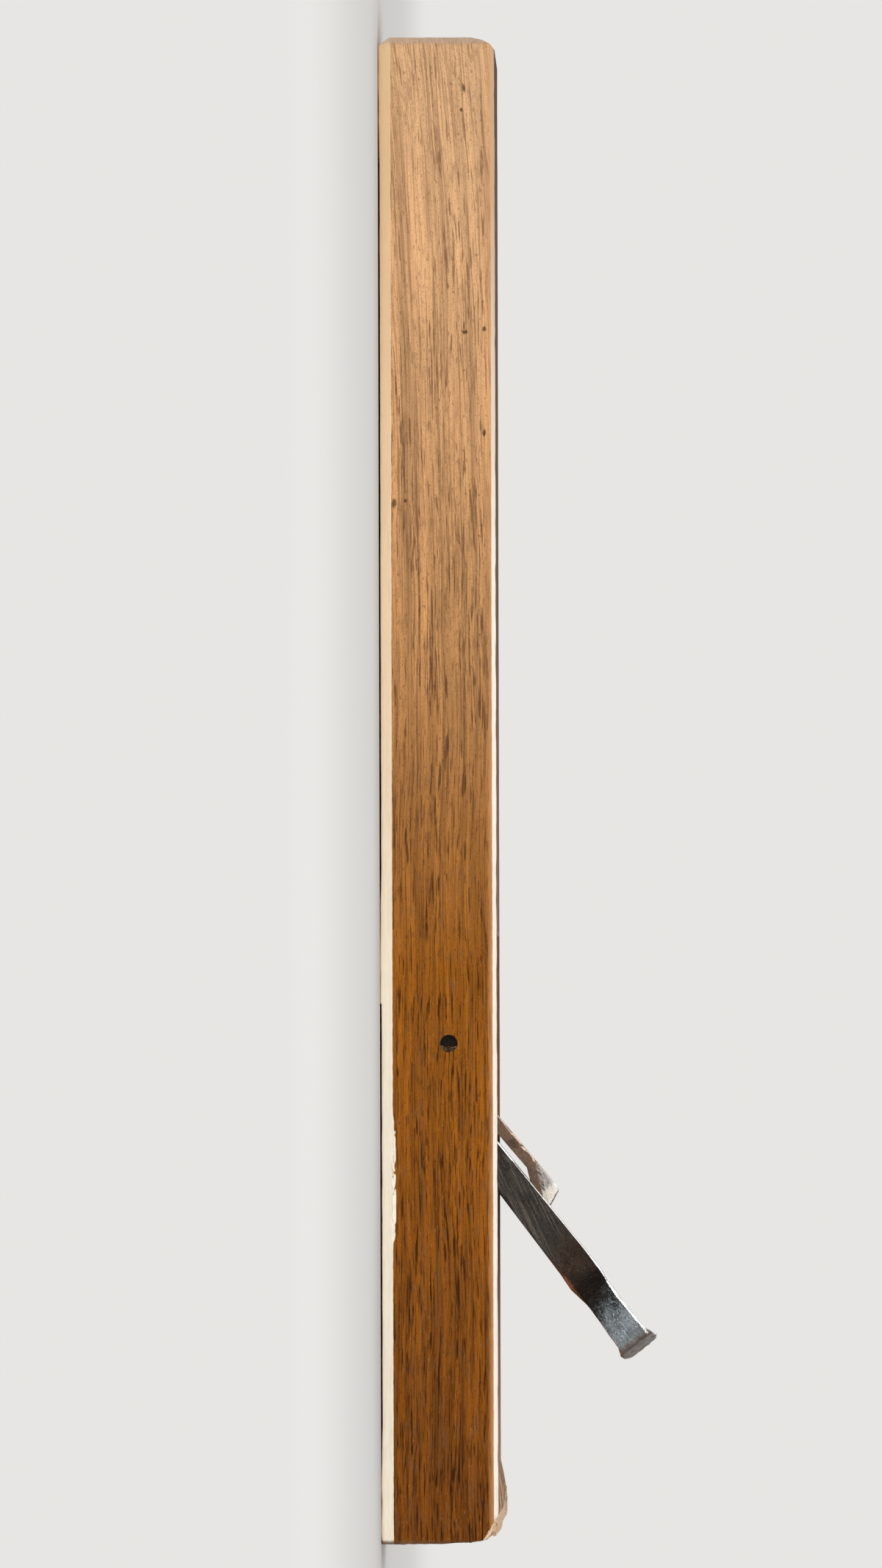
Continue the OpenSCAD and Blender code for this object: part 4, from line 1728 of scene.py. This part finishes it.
    def near_damage(self, point: Vector, in_side: float) -> float:
        """Give the depth of the near side's chips, dents and torn bevel, in millimetres.

        Args:
            point: A place on the body, in millimetres.
            in_side: How far it lies in from the side.

        Returns:
            The depth.
        """
        depth = 0.0
        first, last = self.chip_x
        along = ease(point.x, first, first + self.chip_soft)
        along *= 1.0 - ease(point.x, last - self.chip_soft, last)
        if along > 0.0:
            near = fade(math.hypot(in_side, point.z - SOLE_CUT), self.chip_reach)
            chipped = ease(rough(point, self.chip), *self.chip_edge)
            depth += along * near * self.chip_depth * chipped
        if in_side < self.dent_skin:
            for dent in self.dents:
                reach = math.hypot(point.x - dent.x, point.z - dent.z) / dent.radius
                depth += dent.depth * (1.0 - ease(reach, *self.dent_edge))
        past_bevel = DIAGONAL * (BEVEL_LINE - point.x - point.z)
        torn = TORN_REACH + TORN_SLOPE * (point.z - TORN_Z)
        torn += self.broken_jag * (rough(point, self.broken) - 0.5)
        if in_side < self.broken_in[1] and past_bevel < torn and point.z > self.broken_above:
            inward = 1.0 - ease(in_side, *self.broken_in)
            depth += self.broken_depth * ease(torn - past_bevel, 0.0, self.broken_edge) * inward
        return depth

    def settle(self, point: Vector) -> float:
        """Give how far the swelling has broken down towards the struck end, in millimetres."""
        return self.settled * max(0.0, point.z - TOP_Z) * ease(point.x, *self.settled_x)

    def is_cut(self, middle: Vector, normal: Vector) -> bool:
        """Say whether a face shows cut wood inside the block, from its middle and its normal."""
        on_sole = middle.z < self.sole_below and normal.z < self.sole_facing
        in_hole = self.in_hole(middle) and abs(middle.y) < HALF_W - self.hole_skin
        return self.in_throat(middle) and not on_sole or in_hole

    def block(self) -> Piece:
        """Carve the block from its CAD node.

        Returns:
            The carved body.
        """
        carving = Carving("dai")
        carving.round_edges(
            lambda p: not (self.in_throat(p) or self.in_hole(p) or self.in_split(p)),
            self.rounding,
            self.round_angle,
        )
        carving.cut(2, self.heights)
        carving.cut(1, [*self.widths, *(-width for width in self.widths)])
        carving.cut(0, self.lengths)
        for face in carving.bm.faces:
            middle = face.calc_center_median() / MM
            face.material_index = int(self.is_cut(middle, face.normal))
        carving.press(self.wear)
        for vert in carving.bm.verts:
            vert.co.z -= self.settle(vert.co / MM) * MM
        return carving.finish("body_oak", [self.outside, self.inside], self.crease)

    def sliver(
        self, bm: bmesh.types.BMesh, root: Vector, run: Vector, width: float, thick: float
    ) -> None:
        """Add one splinter, thick at its root and drawn out to a point.

        Args:
            bm: The mesh that it is added to.
            root: The middle of its root, in millimetres.
            run: From its root to its tip, in millimetres.
            width: Its width at the root.
            thick: Its thickness at the root.
        """
        made = bmesh.ops.create_cone(
            bm,
            cap_ends=True,
            segments=self.sliver_sides,
            radius1=0.5,
            radius2=self.sliver_tip,
            depth=1.0,
            matrix=Matrix.Translation((0.0, 0.0, 0.5)),
        )
        turn = run.to_track_quat("Z", "Y").to_matrix().to_4x4()
        size = Matrix.Diagonal((width, thick, run.length, 1.0))
        place = Matrix.Scale(MM, 4) @ Matrix.Translation(root) @ turn @ size
        bmesh.ops.transform(bm, matrix=place, verts=made["verts"])

    def splinters(self) -> Piece:
        """Raise the pale splinters of the swelling behind the struck end's upper edge.

        Returns:
            The splinters, as one piece.
        """
        dice = random.Random(self.splinter_seed)
        bm = bmesh.new()
        for count in range(self.splinter_count):
            kind = self.bold if count < self.bold_count else self.small
            y = dice.uniform(*kind.y)
            x = dice.uniform(*kind.x)
            crown = self.swelling * (1.0 - (y / self.swelling_half) ** 2)
            crown *= 1.0 - ((x - self.swelling_x) / self.swelling_run) ** 2
            thick = dice.uniform(*kind.thick)
            root = Vector((x, y, TOP_Z + max(0.0, crown) - 0.5 * thick))
            lift = min(dice.uniform(*self.lift), self.lift_to - root.z)
            run = Vector((-dice.uniform(*kind.length), dice.uniform(*self.sideways), lift))
            self.sliver(bm, root, run, dice.uniform(*kind.width), thick)
        return to_object(bm, "struck_splinters", [self.torn], self.sliver_crease)

    def hole_fibres(self) -> Piece:
        """Lean the torn fibres across the near end of the pin's hole, from its wall inwards.

        Returns:
            The torn fibres, as one piece.
        """
        dice = random.Random(self.fibre_seed)
        bm = bmesh.new()
        for count in range(self.fibre_count):
            kind = self.deep if count < self.deep_count else self.shallow
            turns = [math.radians(dice.uniform(*span)) for span in (kind.start, kind.end)]
            if count % 2:
                turns.reverse()
            y = dice.uniform(*kind.depth) - HALF_W
            middle = Vector((HOLE_X, y, HOLE_Z))
            root, end = (
                middle + self.hole_r * Vector((math.cos(turn), 0.0, math.sin(turn)))
                for turn in turns
            )
            bow = Vector([dice.uniform(*span) for span in self.bow])
            run = (end - root) * dice.uniform(*kind.length) + bow
            width = dice.uniform(*self.fibre_width)
            self.sliver(bm, root, run, width, dice.uniform(*self.fibre_thick))
        return to_object(bm, "hole_fibres", [self.bruised], self.sliver_crease)

    def build(self) -> list[Piece]:
        """Make the body's pieces.

        Returns:
            The pieces.
        """
        block = self.block()
        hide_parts("dai")
        made = [block, self.splinters(), self.hole_fibres()]
        for piece in made:
            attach(piece, "body")
        return made


@dataclass
class IronPlate:
    """An iron plate that is carved in its own sloping frame, and the steel layer on its edge."""

    iron: Material
    steel: Material
    lengths: tuple[float, ...] = ()
    widths: tuple[float, ...] = ()
    depths: tuple[float, ...] = ()
    rounding: float = 0.28
    round_angle: float = 24.0
    crease: float = 32.0

    def carve(
        self,
        node: str,
        name: str,
        plate: Plate,
        wanted: Callable[[Vector], bool],
        depth: Callable[[Vector, Vector], float],
    ) -> Piece:
        """Carve the plate from its CAD node.

        Args:
            node: The CAD node's name.
            name: The new object's name.
            plate: The plate's own frame.
            wanted: Says whether an edge is rounded, from its middle in that frame.
            depth: Gives how deep the surface is pressed in.

        Returns:
            The carved plate.
        """
        carving = Carving(node, plate)
        carving.round_edges(wanted, self.rounding, self.round_angle)
        for axis, places in enumerate((self.lengths, self.widths, self.depths)):
            carving.cut(axis, places)
        carving.press(depth)
        return carving.finish(name, [self.iron], self.crease)


@dataclass
class Blade(IronPlate):
    """The wedge-shaped blade: its iron back with a hammered head, and its hard steel layer."""

    steel_end: float = 62.0
    steel_h: float = -3.2
    round_from: float = 63.0
    lengths: tuple[float, ...] = (*steps(12.0, 92.0, 4.0), *steps(94.0, 123.4, 0.8))
    widths: tuple[float, ...] = tuple(steps(-34.4, 34.4, 1.6))
    depths: tuple[float, ...] = tuple(steps(-10.6, 0.2, 0.9))

    # Hammer and forging marks
    head_from: Span = (SHOULDER - 3.0, SHOULDER + 6.0)
    dent_size: float = 3.4
    dent_narrow: float = 1.6
    dent_depth: float = 0.24
    wave: Size = (9.0, 6.0, 4.0)
    wave_depth: float = 0.03
    lump: Size = (3.0, 2.0, 2.5)
    lump_depth: float = 0.16
    rim_from: Span = (BLADE_L - 4.0, BLADE_L - 2.0)
    rim_chip: Size = (2.0, 2.4, 2.0)
    rim_edge: Span = (0.4, 0.75)
    rim_depth: float = 0.38

    def is_rounded(self, point: Vector) -> bool:
        """Say whether an edge is rounded: any but those beside the steel layer."""
        return point.x > self.round_from or point.z < self.steel_h

    def strike(self, point: Vector, normal: Vector) -> float:
        """Give the depth of hammer and forging marks, in millimetres.

        Args:
            point: A place in the blade's own plane, in millimetres.
            normal: The surface's normal there; not used.

        Returns:
            The depth.
        """
        if point.x < self.steel_end and point.z > self.steel_h:
            return 0.0
        head = ease(point.x, *self.head_from)
        depth = head * self.dent_depth * hollow(point, self.dent_size, self.dent_narrow)
        depth += self.wave_depth * rough(point, self.wave)
        depth += head * self.lump_depth * rough(point, self.lump)
        chipped = ease(rough(point, self.rim_chip), *self.rim_edge)
        return depth + ease(point.x, *self.rim_from) * self.rim_depth * chipped

    def build(self) -> list[Piece]:
        """Carve the iron back from its CAD node, and dress the steel layer.

        Returns:
            The new pieces.
        """
        back = self.carve("blade_iron", "blade_back", BLADE_PLATE, self.is_rounded, self.strike)
        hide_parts("blade_iron")
        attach(back, "blade")
        dress("blade_steel", self.steel)
        return [back]


@dataclass
class Chipbreaker(IronPlate):
    """The chipbreaker: a rusty iron plate with folded corners, and its hard steel layer."""

    steel_end: float = 33.0
    steel_h: float = 1.3
    face_h: float = 0.6
    round_from: float = 34.0
    round_above: float = 0.5
    round_above_steel: float = 2.0
    lengths: tuple[float, ...] = tuple(steps(8.0, 73.0, 1.1))
    widths: tuple[float, ...] = tuple(steps(-30.0, 30.0, 1.5))
    depths: tuple[float, ...] = tuple(steps(-3.0, 3.6, 0.7))
    rounding: float = 0.30

    # Rust and flaked edges
    face_rust: Size = (4.0, 4.0, 4.0)
    face_depth: float = 0.02
    rust: Size = (3.0, 3.0, 2.0)
    rust_depth: float = 0.10
    flake: Size = (2.2, 1.5, 1.5)
    flake_edge: Span = (0.42, 0.7)
    flake_depth: float = 0.42
    flake_reach: float = 0.8

    def is_rounded(self, point: Vector) -> bool:
        """Say whether an edge is rounded: near the steel layer, only the upper ones are."""
        above = self.round_above if point.x > self.round_from else self.round_above_steel
        return point.z > above

    def corrode(self, point: Vector, normal: Vector) -> float:
        """Give how deep the plate is rusted and flaked away, in millimetres.

        Args:
            point: A place in the chipbreaker's own plane, in millimetres.
            normal: The surface's normal there; not used.

        Returns:
            The depth.
        """
        if point.x < self.steel_end and point.z < self.steel_h:
            return 0.0
        if point.z < self.face_h:
            return self.face_depth * rough(point, self.face_rust)
        upper = BREAKER_THICK - (point.x - BREAKER_THIN_FROM) * BREAKER_TAPER
        edge = math.hypot(BREAKER_HALF_W - abs(point.y), upper - point.z)
        flaked = ease(rough(point, self.flake), *self.flake_edge) * fade(edge, self.flake_reach)
        return self.rust_depth * rough(point, self.rust) + self.flake_depth * flaked

    def build(self) -> list[Piece]:
        """Carve the iron plate from its CAD node, and dress the steel layer.

        Returns:
            The new pieces.
        """
        plate = self.carve(
            "chipbreaker_iron", "chipbreaker_plate", BREAKER_PLATE, self.is_rounded, self.corrode
        )
        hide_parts("chipbreaker_iron")
        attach(plate, "chipbreaker")
        dress("chipbreaker_steel", self.steel)
        return [plate]


@dataclass(frozen=True)
class Lamp:
    """A square soft lamp: its name, and its place, its width and its power in metres and watts."""

    name: str
    place: Size
    size: float
    power: float


@dataclass
class Studio:
    """The pale floor, the even sky, the soft lamps and the camera."""

    pale: Colour = (0.80, 0.79, 0.77)
    laid: Colour = (0.70, 0.69, 0.67)
    bounce: Colour = (0.92, 0.91, 0.89)
    sky: Colour = (0.45, 0.45, 0.45)
    floor_size: float = 40.0
    floor_cells: int = 40
    floor_rough: float = 0.9
    floor_specular: float = 0.1
    fade: Span = (0.45, 1.3)
    lamps: tuple[Lamp, ...] = (
        Lamp("key", (-0.55, -1.40, 0.60), 0.7, 2.5),
        Lamp("fill", (0.75, -1.40, 0.35), 0.9, 2.0),
        Lamp("low", (0.15, -1.60, 0.12), 0.3, 5.5),
        Lamp("over", (0.10, -0.75, 1.25), 0.8, 6.0),
        Lamp("back", (-0.10, 1.40, 0.75), 0.8, 7.0),
    )
    target: Size = (0.0, 0.0, 0.02)
    camera_place: Size = (140.0, -5041.0, 80.0)
    camera_aim: Size = (-1.7, -41.0, 17.4)
    camera_roll: float = math.radians(-0.15)
    camera_far: float = 100.0
    lens: float = 408.7
    sensor: float = 36.0

    def seen(self, wires: Wires) -> Socket:
        """Give 1 for rays that look at the background and 0 for rays that gather light."""
        path = wires.node("LightPath", {}).outputs
        return wires.most(
            path["Is Camera Ray"], path["Is Glossy Ray"], path["Is Transmission Ray"]
        )

    def sky_dome(self) -> None:
        """Make the even sky, which looks pale and lights softly."""
        world = bpy.data.worlds.new("studio_sky")
        bpy.context.scene.world = world
        world.use_nodes = True
        wires = Wires(world.node_tree)
        background = world.node_tree.nodes["Background"].inputs
        wires.feed(background["Color"], wires.lay(self.seen(wires), self.sky, self.pale))
        background["Strength"].default_value = 1.0

    def floor(self) -> None:
        """Lay the floor, which keeps the shadow near the plane and fades into the sky."""
        bm = bmesh.new()
        cells = self.floor_cells
        bmesh.ops.create_grid(bm, x_segments=cells, y_segments=cells, size=self.floor_size / 2.0)
        material = bpy.data.materials.new("studio_floor")
        material.use_nodes = True
        wires = Wires(material.node_tree)
        seen = self.seen(wires)
        shader = material.node_tree.nodes["Principled BSDF"]
        wires.feed(shader.inputs["Base Color"], wires.lay(seen, self.bounce, self.laid))
        shader.inputs["Roughness"].default_value = self.floor_rough
        shader.inputs["Specular IOR Level"].default_value = self.floor_specular
        place = {0: wires.node("TexCoord", {}).outputs["Object"]}
        away = wires.node("VectorMath", place, operation="LENGTH").outputs["Value"]
        far = wires.times(wires.rise(away, *self.fade), seen)
        glow = wires.node("Emission", {"Color": self.pale, "Strength": 1.0})
        mixed = wires.node("MixShader", {0: far, 1: shader.outputs[0], 2: glow.outputs[0]})
        surface = material.node_tree.nodes["Material Output"].inputs["Surface"]
        wires.feed(surface, mixed.outputs[0])
        floor = to_object(bm, "studio_floor", [material])

    def light(self) -> None:
        """Hang the soft lamps, each turned towards the plane."""
        for lamp in self.lamps:
            data = bpy.data.lights.new(lamp.name, "AREA")
            data.shape = "SQUARE"
            data.size = lamp.size
            data.energy = lamp.power
            made = bpy.data.objects.new(lamp.name, data)
            bpy.context.scene.collection.objects.link(made)
            made.visible_camera = False
            made.location = lamp.place
            aim = Vector(self.target) - Vector(lamp.place)
            made.rotation_euler = aim.to_track_quat("-Z", "Y").to_euler()

    def camera(self) -> None:
        """Set the camera where the photograph was taken from, turned so that -X is up."""
        data = bpy.data.cameras.new("camera")
        data.sensor_fit = "VERTICAL"
        data.sensor_height = self.sensor
        data.lens = self.lens
        data.clip_end = self.camera_far
        made = bpy.data.objects.new("camera", data)
        bpy.context.scene.collection.objects.link(made)
        place = Vector(self.camera_place) * MM
        back = (place - Vector(self.camera_aim) * MM).normalized()
        right = Vector((-1.0, 0.0, 0.0)).cross(back).normalized()
        turn = Matrix((right, back.cross(right), back)).transposed()
        roll = Matrix.Rotation(self.camera_roll, 3, back)
        made.matrix_world = Matrix.Translation(place) @ (roll @ turn).to_4x4()
        bpy.context.scene.camera = made

    def build(self) -> None:
        """Set up the whole studio."""
        bpy.context.scene.view_settings.view_transform = "Standard"
        self.sky_dome()
        self.floor()
        self.light()
        self.camera()


def main() -> None:
    """Build the plane and its studio."""
    logging.basicConfig(level=logging.INFO, format="%(name)s: %(message)s")
    Studio().build()
    figure = OakFigure().build()
    skin = IronSkin().build()
    files = FileMarks().build()
    # A darker copy of the torn oak for the fibres in the pin's hole: painted shade, with its pale
    # streaks partly painted highlights
    bruised = TornOak(figure, "oak_bruised_painted_shade", paint(196, 152, 108), paint(58, 36, 20), 0.54)
    body = OakBody(
        WornOak(figure).build(), CutOak(figure).build(), TornOak(figure).build(), bruised.build()
    )
    steel = EdgeSteel(skin, files).build()
    blade = Blade(ForgedIron(skin, files).build(), steel)
    breaker = Chipbreaker(RustedIron(skin).build(), steel)
    for made in (*body.build(), *blade.build(), *breaker.build()):
        log.info("%s: %d faces", made.name, len(made.data.polygons))
    dress("cross_pin", PinIron(skin).build())


if __name__ == "__main__":
    main()
